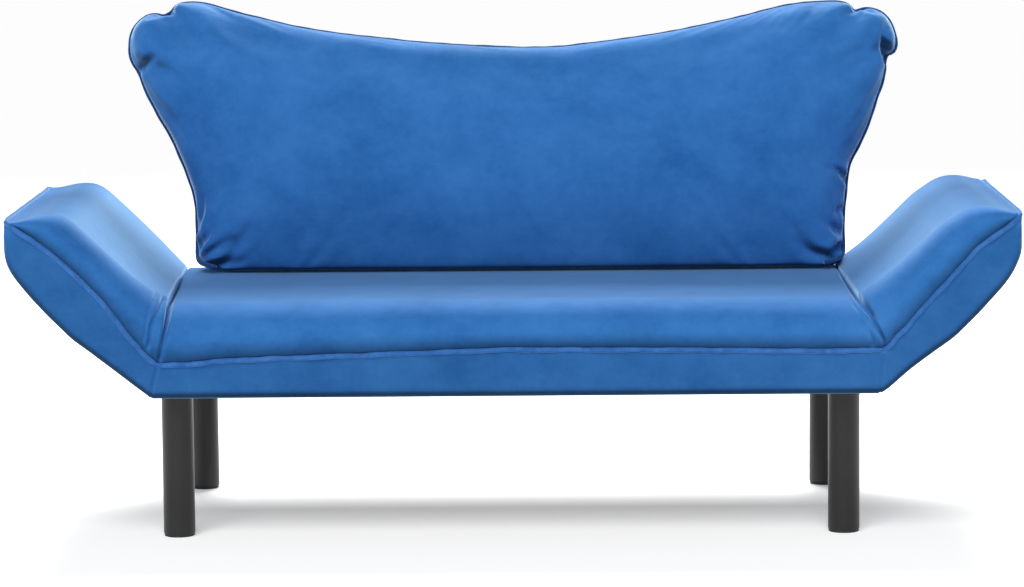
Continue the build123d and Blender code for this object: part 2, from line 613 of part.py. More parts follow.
for side, side_name in side_names.items():
    # Fixed plates, bolted to the ends of the seat frame.
    with BuildPart() as hinge_plates:
        for layer in plate_layers:
            with BuildSketch(seat_side_plane(side, layer)):
                with Locations((-(plate_near + plate_far) / 2, arm_frame_low + tube_height / 2)):
                    Rectangle(plate_far - plate_near, tube_height - 2)
                Circle(head_radius - 2)
                make_hull()
                Circle(pin_diameter / 2 + running_clearance, mode=Mode.SUBTRACT)
                with Locations(*[(x - arm_hinge_x, bolt_level - arm_hinge_z) for x in hinge_bolt_x]):
                    Circle(bolt_diameter / 2 + running_clearance, mode=Mode.SUBTRACT)
                with Locations((-pawl_pivot_back, -pawl_pivot_drop)):
                    Circle(pawl_boss_radius)
                    Circle(pawl_pin_diameter / 2 + running_clearance, mode=Mode.SUBTRACT)
            extrude(amount=-side * plate_thickness)
    finish(hinge_plates.part, f"{side_name}_hinge_plates")

    # Pawls beside them, lifted just clear of the teeth.
    with BuildPart() as pawls:
        for layer, _ in leaf_layers:
            with BuildSketch(seat_side_plane(side, layer)):
                pawl_outline()
            extrude(amount=-side * leaf_thickness)
    finish(pawls.part, f"{side_name}_arm_pawls")

    # Moving leaves with ratchet heads.
    arm_bolt_places = [(u, arm_frame_low + tube_height / 2) for u in leaf_bolt_reach]
    with BuildPart() as leaves:
        for layer, _ in leaf_layers:
            with BuildSketch(arm_side_plane(side, layer)):
                with Locations(((leaf_near + leaf_far) / 2, arm_frame_low + tube_height / 2)):
                    Rectangle(leaf_far - leaf_near, tube_height - 2)
                Circle(head_radius)
                make_hull()
                ratchet_notches(180 - arm_angle, arm_catches)
                Circle(pin_diameter / 2 + running_clearance, mode=Mode.SUBTRACT)
                with Locations(*arm_bolt_places):
                    Circle(bolt_diameter / 2 + running_clearance, mode=Mode.SUBTRACT)
            extrude(amount=-side * leaf_thickness)
    finish(leaves.part, f"{side_name}_arm_leaves")

    # Arm frame: a rectangle of tube.
    arm_frame_length = arm_frame_end - arm_frame_start
    arm_frame_middle = (arm_frame_start + arm_frame_end) / 2
    arm_inner_length = arm_frame_length - 2 * arm_tube_width
    arm_inner_depth = 2 * (leaf_inner_y - arm_tube_width)
    with BuildPart() as arm_frame:
        with BuildSketch(arm_top_plane(side, arm_frame_low)):
            with Locations((arm_frame_middle, 0)):
                Rectangle(arm_frame_length, 2 * leaf_inner_y)
                Rectangle(arm_inner_length, arm_inner_depth, mode=Mode.SUBTRACT)
        extrude(amount=tube_height)
        with BuildSketch(arm_top_plane(side, arm_frame_low + tube_wall)):
            with Locations((arm_frame_middle, 0)):
                Rectangle(arm_frame_length - 2 * tube_wall, 2 * (leaf_inner_y - tube_wall))
                Rectangle(
                    arm_inner_length + 2 * tube_wall,
                    arm_inner_depth + 2 * tube_wall,
                    mode=Mode.SUBTRACT,
                )
        extrude(amount=tube_height - 2 * tube_wall, mode=Mode.SUBTRACT)
        with BuildSketch(arm_side_plane(side)):
            with Locations(*arm_bolt_places):
                Circle(bolt_diameter / 2 + running_clearance)
        extrude(amount=seat_depth, both=True, mode=Mode.SUBTRACT)
    finish(arm_frame.part, f"{side_name}_arm_frame")

    # Slats across the arm frame.
    arm_slat_pitch = arm_frame_length / arm_slat_count
    arm_slat_places = [
        (arm_frame_start + (i + 0.5) * arm_slat_pitch, 0) for i in range(arm_slat_count)
    ]
    with BuildPart() as arm_slats:
        with BuildSketch(arm_top_plane(side, arm_frame_low + tube_height)):
            with Locations(*arm_slat_places):
                RectangleRounded(slat_width, 2 * (leaf_inner_y - slat_end_gap), slat_corner)
        extrude(amount=slat_thickness)
    finish(arm_slats.part, f"{side_name}_arm_slats")

    # Bolts from the leaves into the arm frame.
    bolt_grip = leaf_thickness + tube_wall + bolt_tail
    with BuildPart() as arm_bolts:
        for layer, outwards in leaf_layers:
            outer_face = outwards * leaf_outer_y
            with BuildSketch(arm_side_plane(side, outer_face)):
                with Locations(*arm_bolt_places):
                    Circle(bolt_diameter / 2)
            extrude(amount=side * outwards * bolt_grip)
            with BuildSketch(arm_side_plane(side, outer_face)):
                with Locations(*arm_bolt_places):
                    RegularPolygon(bolt_head_radius, 6)
            extrude(amount=-side * outwards * bolt_head_thickness)
    finish(arm_bolts.part, f"{side_name}_arm_bolts")

    # Arm foam with a chamber for the frame, its slats and the leaves.
    arm_foam_blank = arm_block(side, foam_inset)
    chamber_height = tube_height + slat_thickness + 4
    with BuildPart() as arm_foam:
        add(arm_foam_blank)
        with BuildSketch(arm_top_plane(side, arm_frame_low - 1)):
            with Locations((arm_frame_middle, 0)):
                Rectangle(arm_frame_length + 8, 2 * pocket_half_y)
        extrude(amount=chamber_height, mode=Mode.SUBTRACT)
        for layer, outwards in leaf_layers:
            with BuildSketch(arm_side_plane(side, outwards * (frame_half_y - slot_clearance))):
                with Locations((2 * head_radius, 0)):
                    Rectangle(4 * head_radius + 4, 2 * (head_radius + 7))
            extrude(amount=-side * outwards * (pocket_half_y - frame_half_y + slot_clearance),
                    mode=Mode.SUBTRACT)
        add(arm_hinge_pockets.part, mode=Mode.SUBTRACT)
    finish(arm_foam.part, f"{side_name}_arm_foam")

    # Arm cover.
    arm_outer = arm_block(side, 0)
    arm_inner = arm_block(side, cover_thickness)
    with BuildPart() as arm_cover:
        add(arm_outer)
        add(arm_inner, mode=Mode.SUBTRACT)
        add(arm_hinge_pockets.part, mode=Mode.SUBTRACT)
    finish(arm_cover.part, f"{side_name}_arm_cover")

    # Piping along the front, round the tip and along the rear of the arm.
    piping_length = arm_tip + piping_proud - piping_start
    with BuildPart() as arm_piping:
        piping_low = arm_piping_rise - arm_hinge_rise - piping_diameter / 2
        with BuildSketch(arm_top_plane(side, piping_low)):
            with Locations((piping_start + piping_length / 2, 0)):
                RectangleRounded(piping_length, seat_depth + 2 * piping_proud, piping_corner)
        extrude(amount=piping_diameter)
        add(arm_outer, mode=Mode.SUBTRACT)
    finish(arm_piping.part, f"{side_name}_arm_piping")

# Bolts that hold the fixed plates to the seat frame.
plate_bolt_grip = plate_thickness + tube_wall + bolt_tail
with BuildPart() as hinge_bolts:
    for side in side_names:
        for outwards in (-1, 1):
            face = outwards * (frame_half_y + plate_thickness)
            places = [(x - arm_hinge_x, bolt_level - arm_hinge_z) for x in hinge_bolt_x]
            with BuildSketch(seat_side_plane(side, face)):
                with Locations(*places):
                    Circle(bolt_diameter / 2)
            extrude(amount=side * outwards * plate_bolt_grip)
            with BuildSketch(seat_side_plane(side, face)):
                with Locations(*places):
                    RegularPolygon(bolt_head_radius, 6)
            extrude(amount=-side * outwards * bolt_head_thickness)
finish(hinge_bolts.part, "hinge_bolts")

# Rivets that the arms turn on.
arm_grip = plate_thickness + leaf_gap + leaf_thickness + 2 * running_clearance
with BuildPart() as arm_hinge_pins:
    for side in side_names:
        for outwards in (-1, 1):
            grip_middle = outwards * (frame_half_y + arm_grip / 2 - running_clearance)
            origin = (side * arm_hinge_x, seat_middle + grip_middle, arm_hinge_z)
            with BuildSketch(Plane(origin=origin, x_dir=(1, 0, 0), z_dir=(0, 0, 1))):
                rivet(arm_grip, pin_diameter)
            revolve(axis=Axis(origin, (0, 1, 0)))
finish(arm_hinge_pins.part, "arm_hinge_pins")

# ================= back hinges =================
bar_half = back_bar_thickness / 2
back_plate_x = back_bar_x - bar_half - leaf_gap - plate_thickness
foot_front = frame_half_y - tube_width - 2 - (back_pivot_y - seat_middle)
foot_rear = frame_half_y - (back_pivot_y - seat_middle)
plate_foot = frame_top - back_pivot_z

# Fixed plates, welded on the rear tube of the seat frame.
with BuildPart() as back_hinge_plates:
    for side in (-1, 1):
        inner = side * back_plate_x if side > 0 else -back_plate_x - plate_thickness
        with BuildSketch(back_side_plane(inner)):
            Circle(head_radius - 2)
            with Locations(((foot_front - back_plate_foot) / 2, plate_foot - 2)):
                Rectangle(foot_front + back_plate_foot, head_radius)
            with Locations((foot_rear / 2, plate_foot + head_radius / 4)):
                Rectangle(foot_rear, head_radius / 2)
            Circle(pin_diameter / 2 + running_clearance, mode=Mode.SUBTRACT)
            with Locations((-pawl_pivot_back, -pawl_pivot_drop)):
                Circle(pawl_boss_radius)
                Circle(pawl_pin_diameter / 2 + running_clearance, mode=Mode.SUBTRACT)
        extrude(amount=plate_thickness)
finish(back_hinge_plates.part, "back_hinge_plates")

with BuildPart() as back_pawls:
    for side in (-1, 1):
        with BuildSketch(back_side_plane(side * back_bar_x - bar_half)):
            pawl_outline()
        extrude(amount=back_bar_thickness)
finish(back_pawls.part, "back_pawls")

back_grip = plate_thickness + leaf_gap + back_bar_thickness + 2 * running_clearance
with BuildPart() as back_hinge_pins:
    for side in (-1, 1):
        middle_x = side * (back_plate_x - running_clearance + back_grip / 2)
        origin = (middle_x, back_pivot_y, back_pivot_z)
        with BuildSketch(Plane(origin=origin, x_dir=(0, 1, 0), z_dir=(0, 0, 1))):
            rivet(back_grip, pin_diameter)
        revolve(axis=Axis(origin, (1, 0, 0)))
finish(back_hinge_pins.part, "back_hinge_pins")

# Plain pins that the pawls turn on.
with BuildPart() as pawl_pins:
    for side in side_names:
        for layer in (frame_half_y, -frame_half_y - arm_grip):
            with BuildSketch(seat_side_plane(side, layer)):
                with Locations((-pawl_pivot_back, -pawl_pivot_drop)):
                    Circle(pawl_pin_diameter / 2)
            extrude(amount=-side * arm_grip)
    for start in (back_plate_x, -back_plate_x - back_grip):
        with BuildSketch(back_side_plane(start)):
            with Locations((-pawl_pivot_back, -pawl_pivot_drop)):
                Circle(pawl_pin_diameter / 2)
        extrude(amount=back_grip)
finish(pawl_pins.part, "pawl_pins")

# ================= backrest =================
frame_low = nose_radius + frame_above_seat
frame_foot_x = foot_half_width - back_frame_inset
frame_wing_x = wing_half_width - back_frame_inset - back_tube_diameter / 2
frame_wing_top = back_height - back_frame_inset - back_tube_diameter / 2
frame_dip = back_height - wing_dip - back_frame_inset
half_route = [
    (frame_foot_x, frame_low),
    (frame_foot_x, frame_low + frame_upright),
    (frame_wing_x, frame_wing_top - frame_shoulder),
    (frame_wing_x, frame_wing_top),
    (frame_wing_x - frame_crown, frame_wing_top),
    (frame_wing_x - frame_dip_run, frame_dip),
]
route = half_route + [(-x, w) for x, w in reversed(half_route)]

# Bent tube frame that follows the wings.
with BuildPart() as back_frame:
    with BuildLine(back_plane) as frame_line:
        FilletPolyline(*route, radius=frame_bend_radius, close=True)
    start = frame_line.edges().sort_by(Axis.Z)[0]
    with BuildSketch(Plane(origin=start @ 0, z_dir=start % 0)):
        Circle(back_tube_diameter / 2)
        Circle(back_tube_diameter / 2 - back_tube_wall, mode=Mode.SUBTRACT)
    sweep(path=frame_line.wires()[0], transition=Transition.ROUND)
finish(back_frame.part, "back_frame")

# Webbing loops from the lower tube to the upper one.
strap_radius = back_tube_diameter / 2 + strap_thickness
strap_span = frame_dip - frame_low
with BuildPart() as back_straps:
    with BuildSketch(back_section):
        with Locations((0, (frame_dip + frame_low) / 2)):
            SlotOverall(strap_span + 2 * strap_radius, 2 * strap_radius, rotation=90)
            inner_width = 2 * (back_tube_diameter / 2 + running_clearance)
            SlotOverall(strap_span + inner_width, inner_width, rotation=90, mode=Mode.SUBTRACT)
    extrude(amount=wing_half_width, both=True)
    with BuildSketch(back_plane):
        places = [((i - (strap_count - 1) / 2) * strap_pitch, 0) for i in range(strap_count)]
        with Locations(*places):
            Rectangle(strap_width, 4 * back_height)
    extrude(amount=back_front, both=True, mode=Mode.INTERSECT)
finish(back_straps.part, "back_straps")

# Flat bars with ratchet heads, welded under the lower tube.
with BuildPart() as back_bars:
    for side in (-1, 1):
        origin = (side * back_bar_x - bar_half, back_pivot_y, back_pivot_z)
        bar_plane = Plane(origin=origin, x_dir=(0, lean_cos, -lean_sin), z_dir=(1, 0, 0))
        with BuildSketch(bar_plane):
            with Locations((0, frame_low / 2)):
                Rectangle(back_bar_height, frame_low)
            Circle(head_radius)
            ratchet_notches(180 + back_lean, back_catches)
            Circle(pin_diameter / 2 + running_clearance, mode=Mode.SUBTRACT)
            with Locations((0, frame_low)):
                Circle(back_tube_diameter / 2, mode=Mode.SUBTRACT)
        extrude(amount=back_bar_thickness)
finish(back_bars.part, "back_bars")

# Back foam with a chamber for the frame and its webbing.
back_foam_blank = back_block(foam_inset)
chamber_depth = strap_radius + 0.5
with BuildPart() as back_chamber:
    with BuildSketch(back_plane):
        back_outline()
        offset(amount=-chamber_margin, kind=Kind.INTERSECTION, mode=Mode.REPLACE)
        with Locations((0, foot_level)):
            chamber_floor = frame_low - chamber_depth - foot_level
            Rectangle(4 * wing_half_width, 2 * chamber_floor, mode=Mode.SUBTRACT)
    extrude(amount=chamber_depth, both=True)
    with BuildSketch(back_plane):
        with Locations((-back_bar_x, frame_low / 2), (back_bar_x, frame_low / 2)):
            Rectangle(back_bar_thickness + 2, frame_low)
    extrude(amount=back_bar_height / 2 + 1, both=True)
with BuildPart() as back_foam:
    add(back_foam_blank)
    add(back_chamber.part, mode=Mode.SUBTRACT)
finish(back_foam.part, "back_foam")

# Back cover.
back_outer = back_block(0)
back_inner = back_block(cover_thickness)
with BuildPart() as back_cover:
    add(back_outer)
    add(back_inner, mode=Mode.SUBTRACT)
    with BuildSketch(back_plane):
        with Locations((-back_bar_x, frame_low / 2), (back_bar_x, frame_low / 2)):
            Rectangle(back_bar_thickness + 2, frame_low)
    extrude(amount=back_bar_height / 2 + 1, both=True, mode=Mode.SUBTRACT)
finish(back_cover.part, "back_cover")

# Piping round the sides and the top of the back cushion.
piping_forward = (back_front - back_rear) / 2
with BuildPart() as back_piping:
    with BuildSketch(back_plane.offset(piping_forward - piping_diameter / 2)):
        back_outline()
        offset(amount=piping_proud)
        with Locations((0, 0)):
            Rectangle(4 * wing_half_width, 2 * frame_low, mode=Mode.SUBTRACT)
    extrude(amount=piping_diameter)
    add(back_outer, mode=Mode.SUBTRACT)
finish(back_piping.part, "back_piping")
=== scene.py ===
import json
import math
import bmesh
import bpy
import numpy as np
from mathutils import Matrix, Vector


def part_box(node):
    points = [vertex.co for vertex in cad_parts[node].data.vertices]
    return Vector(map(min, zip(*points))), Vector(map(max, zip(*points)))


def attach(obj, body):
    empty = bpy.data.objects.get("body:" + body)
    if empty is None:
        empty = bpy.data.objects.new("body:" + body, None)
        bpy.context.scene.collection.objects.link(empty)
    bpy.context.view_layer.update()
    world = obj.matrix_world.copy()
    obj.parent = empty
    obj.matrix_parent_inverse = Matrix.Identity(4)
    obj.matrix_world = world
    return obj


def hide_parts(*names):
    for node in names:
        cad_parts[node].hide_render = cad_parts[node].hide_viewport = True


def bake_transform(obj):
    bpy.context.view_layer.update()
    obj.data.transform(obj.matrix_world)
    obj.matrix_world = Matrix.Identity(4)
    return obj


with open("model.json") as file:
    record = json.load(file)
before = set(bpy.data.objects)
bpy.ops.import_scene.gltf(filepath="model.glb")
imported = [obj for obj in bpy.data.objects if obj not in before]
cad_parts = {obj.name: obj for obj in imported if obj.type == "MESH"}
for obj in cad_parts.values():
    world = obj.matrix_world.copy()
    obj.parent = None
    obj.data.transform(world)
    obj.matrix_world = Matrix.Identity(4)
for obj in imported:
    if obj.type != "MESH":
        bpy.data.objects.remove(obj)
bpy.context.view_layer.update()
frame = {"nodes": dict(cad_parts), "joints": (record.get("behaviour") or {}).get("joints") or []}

nodes = frame["nodes"]

# ---- Camera ----
# Eye height of somebody standing back from the sofa bed, with a long lens. It looks slightly
# down, and is turned a little to the left and tilted by half a degree.
CAMERA_PLACE = Vector((0.0733, -6.4452, 1.1208))
CAMERA_PITCH, CAMERA_YAW, CAMERA_ROLL = math.radians(6.81), math.radians(-0.64), math.radians(0.51)
camera_data = bpy.data.cameras.new("camera")
camera_data.lens = 138.87
camera_data.sensor_width = 36.0
camera_data.clip_end = 200.0
camera = bpy.data.objects.new("camera", camera_data)
bpy.context.scene.collection.objects.link(camera)
looking = Vector((math.sin(CAMERA_YAW) * math.cos(CAMERA_PITCH),
                  math.cos(CAMERA_YAW) * math.cos(CAMERA_PITCH), -math.sin(CAMERA_PITCH)))
level_right = Vector((math.cos(CAMERA_YAW), -math.sin(CAMERA_YAW), 0.0))
level_up = level_right.cross(looking)
camera_right = level_right * math.cos(CAMERA_ROLL) - level_up * math.sin(CAMERA_ROLL)
camera_up = level_right * math.sin(CAMERA_ROLL) + level_up * math.cos(CAMERA_ROLL)
turned = Matrix((camera_right, camera_up, -looking)).transposed().to_4x4()
camera.matrix_world = Matrix.Translation(CAMERA_PLACE) @ turned
bpy.context.scene.camera = camera

# ---- Legs ----
# Four plain round tubes of moulded plastic, satin charcoal with a fine grain, each standing on
# a softer glide. A steel stud screws each leg up into its plate under the seat frame.
LEG_COLOUR = (0.022, 0.022, 0.024)


def new_material(name, colour, roughness, metallic=0.0, specular=0.5):
    """A principled finish with its even values set on the shader."""
    material = bpy.data.materials.new(name)
    material.use_nodes = True
    shader = material.node_tree.nodes["Principled BSDF"]
    shader.inputs["Base Color"].default_value = (*colour, 1.0)
    shader.inputs["Roughness"].default_value = roughness
    shader.inputs["Metallic"].default_value = metallic
    shader.inputs["Specular IOR Level"].default_value = specular
    return material


def add_node(material, kind, settings=(), values=()):
    """A shader node with its settings and the values of its sockets."""
    node = material.node_tree.nodes.new(kind)
    for key, value in dict(settings).items():
        setattr(node, key, value)
    for key, value in dict(values).items():
        node.inputs[key].default_value = value
    return node


def wire(material, a, out, b, into):
    """Join one node's output to another's input."""
    material.node_tree.links.new(a.outputs[out], b.inputs[into])


def noise(material, scale, detail=4.0, roughness=0.6, stretch=(1.0, 1.0, 1.0)):
    """Fractal noise laid in the object's own space, in features per metre."""
    coords = add_node(material, "ShaderNodeTexCoord")
    mapping = add_node(material, "ShaderNodeMapping", (), {"Scale": stretch})
    texture = add_node(material, "ShaderNodeTexNoise", (),
                       {"Scale": scale, "Detail": detail, "Roughness": roughness})
    wire(material, coords, "Object", mapping, "Vector")
    wire(material, mapping, "Vector", texture, "Vector")
    return texture


def colour_by(material, texture, stops, socket="Base Color"):
    """Colour stops along a texture's value, joined to the shader."""
    ramp = add_node(material, "ShaderNodeValToRGB")
    elements = ramp.color_ramp.elements
    while len(elements) < len(stops):
        elements.new(0.5)
    for element, (place, colour) in zip(elements, stops):
        element.position = place
        element.color = (*colour, 1.0)
    wire(material, texture, 0, ramp, "Fac")
    shader = material.node_tree.nodes["Principled BSDF"]
    wire(material, ramp, "Color", shader, socket)
    return ramp


def value_by(material, texture, low, high, socket):
    """A texture's value spread between two numbers and joined to the shader."""
    spread = add_node(material, "ShaderNodeMapRange", (),
                      {"From Min": 0.3, "From Max": 0.7, "To Min": low, "To Max": high})
    wire(material, texture, 0, spread, "Value")
    wire(material, spread, "Result", material.node_tree.nodes["Principled BSDF"], socket)


def bump_by(material, texture, distance, strength=1.0):
    """Relief from a texture; a second call lays its relief over the first."""
    shader = material.node_tree.nodes["Principled BSDF"]
    bump = add_node(material, "ShaderNodeBump", (), {"Distance": distance, "Strength": strength})
    wire(material, texture, 0, bump, "Height")
    if shader.inputs["Normal"].is_linked:
        earlier = shader.inputs["Normal"].links[0].from_node
        wire(material, earlier, "Normal", bump, "Normal")
    wire(material, bump, "Normal", shader, "Normal")


def dress(material, *names):
    """Put a material on CAD nodes."""
    for name in names:
        piece = nodes[name]
        if not piece.material_slots:
            piece.data.materials.append(material)
        for slot in piece.material_slots:
            slot.material = material


leg_plastic = new_material("leg_plastic", LEG_COLOUR, 0.42)
grain = noise(leg_plastic, 900.0)
colour_by(leg_plastic, noise(leg_plastic, 14.0),
          ((0.35, (0.004, 0.004, 0.004)), (0.65, (0.007, 0.007, 0.007))))
value_by(leg_plastic, grain, 0.36, 0.50, "Roughness")
bump_by(leg_plastic, grain, 0.0002, 0.5)
dress(leg_plastic, "front_left_leg", "front_right_leg", "rear_left_leg", "rear_right_leg")

glide_plastic = new_material("glide_plastic", (0.012, 0.012, 0.013), 0.6)
value_by(glide_plastic, noise(glide_plastic, 400.0), 0.5, 0.72, "Roughness")
bump_by(glide_plastic, noise(glide_plastic, 1400.0), 0.0002, 0.4)
dress(glide_plastic, "leg_glides")

fastener_steel = new_material("fastener_steel", (0.52, 0.52, 0.50), 0.32, metallic=1.0)
value_by(fastener_steel, noise(fastener_steel, 300.0), 0.22, 0.45, "Roughness")
bump_by(fastener_steel, noise(fastener_steel, 1100.0), 0.00015, 0.4)
dress(fastener_steel, "leg_studs")

# ---- Seat frame ----
# A welded frame of rectangular steel tube with leg plates, painted black. Sprung plywood slats
# are screwed across it and carry the pad.
frame_paint = new_material("frame_paint", (0.02, 0.02, 0.021), 0.38)
value_by(frame_paint, noise(frame_paint, 160.0), 0.30, 0.48, "Roughness")
bump_by(frame_paint, noise(frame_paint, 700.0, detail=2.0), 0.0003, 0.35)
dress(frame_paint, "seat_frame", "leg_plates")

slat_wood = new_material("slat_wood", (0.55, 0.38, 0.21), 0.55)
wood_grain = noise(slat_wood, 40.0, detail=8.0, stretch=(2.2, 0.18, 2.2))
colour_by(slat_wood, wood_grain, ((0.3, (0.42, 0.27, 0.14)), (0.5, (0.56, 0.39, 0.22)),
                                  (0.7, (0.66, 0.49, 0.30))))
value_by(slat_wood, wood_grain, 0.48, 0.66, "Roughness")
bump_by(slat_wood, wood_grain, 0.0003, 0.5)
dress(slat_wood, "seat_slats")
dress(fastener_steel, "slat_screws")

# ---- Dust cloth ----
# Thin black non-woven cloth that closes the seat from below. It is cut to the frame, and stapled
# along its edge.
dust_cloth = new_material("dust_cloth", (0.014, 0.014, 0.016), 0.9, specular=0.2)
fibres = noise(dust_cloth, 500.0, detail=6.0)
colour_by(dust_cloth, fibres, ((0.35, (0.009, 0.009, 0.010)), (0.65, (0.022, 0.022, 0.025))))
bump_by(dust_cloth, fibres, 0.0004, 0.6)
dress(dust_cloth, "underside_liner")

# ---- Hinges and ratchets ----
# Pressed steel plates bolted inside the seat frame, toothed leaves and bars that turn between
# them, and the pawls that hold each notch. All are zinc plated.
hinge_steel = new_material("hinge_steel", (0.40, 0.40, 0.39), 0.36, metallic=1.0)
spangle = noise(hinge_steel, 90.0, detail=2.0)
colour_by(hinge_steel, spangle, ((0.35, (0.33, 0.33, 0.33)), (0.65, (0.48, 0.48, 0.46))))
value_by(hinge_steel, spangle, 0.28, 0.46, "Roughness")
bump_by(hinge_steel, noise(hinge_steel, 800.0), 0.0001, 0.4)
dress(hinge_steel, "left_hinge_plates", "right_hinge_plates", "back_hinge_plates",
      "left_arm_leaves", "right_arm_leaves", "back_bars",
      "left_arm_pawls", "right_arm_pawls", "back_pawls")
dress(fastener_steel, "hinge_bolts", "arm_hinge_pins", "back_hinge_pins", "pawl_pins",
      "left_arm_bolts", "right_arm_bolts")

# ---- Arm frames ----
# Each arm has its own welded tube frame with three slats across it, bolted to the hinge leaves.
dress(frame_paint, "left_arm_frame", "right_arm_frame")
dress(slat_wood, "left_arm_slats", "right_arm_slats")

# ---- Seat and arm pads ----
# One run of foam in a blue velvet cover, from arm tip to arm tip. It folds at both ends of the
# seat where the arms stand up. The cover is cut and sewn as a band below and a fuller pad above.
seat_low, seat_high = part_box("seat_cover")
SEAT_FRONT, SEAT_REAR = seat_low[1], seat_high[1]
UNDERSIDE, PAD_THICKNESS = seat_low[2], seat_high[2] - seat_low[2]
HINGE = Vector(next(j for j in frame["joints"] if j["name"] == "right_arm_fold")["pos_m"])
BACK_PIVOT = Vector(next(j for j in frame["joints"] if j["name"] == "back_recline")["pos_m"])
HALF_RISE = math.radians(22.5)  # the arms rise by 45 degrees, and fold about the line halfway
SLOPE = math.sqrt(0.5)
CORNER_X = HINGE.x + (HINGE.z - UNDERSIDE) * math.tan(HALF_RISE)
NOSE_RADIUS = UNDERSIDE + PAD_THICKNESS - BACK_PIVOT.z
BAND_RADIUS = 0.012
SEAT_NOSE, ARM_REAR_ROUND, REAR_FOOT = 0.072, 0.048, 0.010
LEFT, RIGHT = -1, 1
# Lines of the cover, each as pairs of a place and a value, in metres. Heights are above the
# underside. Places on an arm run from the bottom corner of the seat out along the arm.
SEAM_ON_SEAT = ((-0.560, 0.054), (-0.514, 0.055), (-0.451, 0.061), (-0.326, 0.065), (0.0, 0.075),
                (0.30, 0.072), (0.454, 0.069), (0.545, 0.070), (0.572, 0.072), (0.592, 0.083))
SEAM_ON_ARM = {LEFT: ((0.0, 0.058), (0.025, 0.051), (0.045, 0.048), (0.084, 0.051), (0.161, 0.062),
                      (0.247, 0.062), (0.295, 0.056), (0.350, 0.045)),
               RIGHT: ((0.0, 0.070), (0.076, 0.042), (0.087, 0.045), (0.109, 0.040), (0.200, 0.043),
                       (0.281, 0.047), (0.299, 0.043), (0.344, 0.036), (0.360, 0.036))}
ARM_BOTTOM = {LEFT: ((0.0, 0.005), (0.026, 0.001), (0.057, -0.003), (0.119, -0.011),
                     (0.149, -0.0155), (0.201, -0.0155), (0.237, -0.014), (0.275, -0.010),
                     (0.297, -0.005), (0.311, 0.002), (0.324, 0.013), (0.337, 0.027),
                     (0.346, 0.036), (0.350, 0.0445)),
              RIGHT: ((0.0, 0.0), (0.016, -0.006), (0.032, -0.009), (0.064, -0.013), (0.095, -0.018),
                      (0.124, -0.023), (0.153, -0.028), (0.206, -0.028), (0.262, -0.025),
                      (0.282, -0.022), (0.301, -0.016), (0.319, -0.008), (0.332, 0.004),
                      (0.343, 0.017), (0.354, 0.028), (0.360, 0.0355))}
ARM_TOP = {LEFT: ((0.0, 0.120), (0.10, 0.115), (0.20, 0.1155), (0.28, 0.1135), (0.298, 0.109),
                  (0.312, 0.099), (0.323, 0.086), (0.333, 0.071), (0.341, 0.055), (0.350, 0.0455)),
           RIGHT: ((0.0, 0.112), (0.10, 0.109), (0.20, 0.108), (0.262, 0.107), (0.282, 0.103),
                   (0.303, 0.099), (0.319, 0.092), (0.332, 0.081), (0.344, 0.067),
                   (0.353, 0.050), (0.360, 0.0365))}
ARM_LENGTH = {LEFT: 0.350, RIGHT: 0.360}
# Where the seat ends and the arm starts: height, then how far out from the middle.
CREASE = {LEFT: ((0.0, 0.5630), (0.054, 0.5500), (0.079, 0.5450), (0.103, 0.5400), (0.126, 0.5350),
                 (0.147, 0.5330)),
          RIGHT: ((0.0, 0.5790), (0.045, 0.5830), (0.083, 0.5860), (0.102, 0.5760), (0.126, 0.5640),
                  (0.147, 0.5440))}


def along(line, place):
    """Smooth value at a place on a line of points."""
    xs, ys = np.array(line).T
    step = np.interp(place, xs, ys)
    soft = sum(np.interp(place + d, xs, ys) for d in (-0.008, -0.004, 0.004, 0.008))
    return (step + soft) / 5.0


def curve_points(p0, p1, p2, p3, count):
    """Points of a cubic curve, without its last one."""
    t = np.linspace(0.0, 1.0, count, endpoint=False)[:, None]
    p0, p1, p2, p3 = (np.array(p) for p in (p0, p1, p2, p3))
    return ((1 - t) ** 3 * p0 + 3 * (1 - t) ** 2 * t * p1 + 3 * (1 - t) * t * t * p2 + t ** 3 * p3)


def straight(a, b, count):
    """Points of a straight run, without its last one."""
    t = np.linspace(0.0, 1.0, count, endpoint=False)[:, None]
    return np.array(a) * (1 - t) + np.array(b) * t


# Points along each stretch of a section, from under the middle forwards and up to the top.
HEM_ROWS, UNDER_ROWS, ROUND_ROWS, BAND_ROWS, SWELL_ROWS, FLAT_ROWS = 9, 3, 5, 12, 30, 62
SEAM_ROW = HEM_ROWS + UNDER_ROWS + ROUND_ROWS + BAND_ROWS + 1
TOP_ROWS = (SEAM_ROW + 1 + SWELL_ROWS, SEAM_ROW + 1 + SWELL_ROWS + FLAT_ROWS)
HEM_REACH, REAR_HEM = 0.030, 0.018


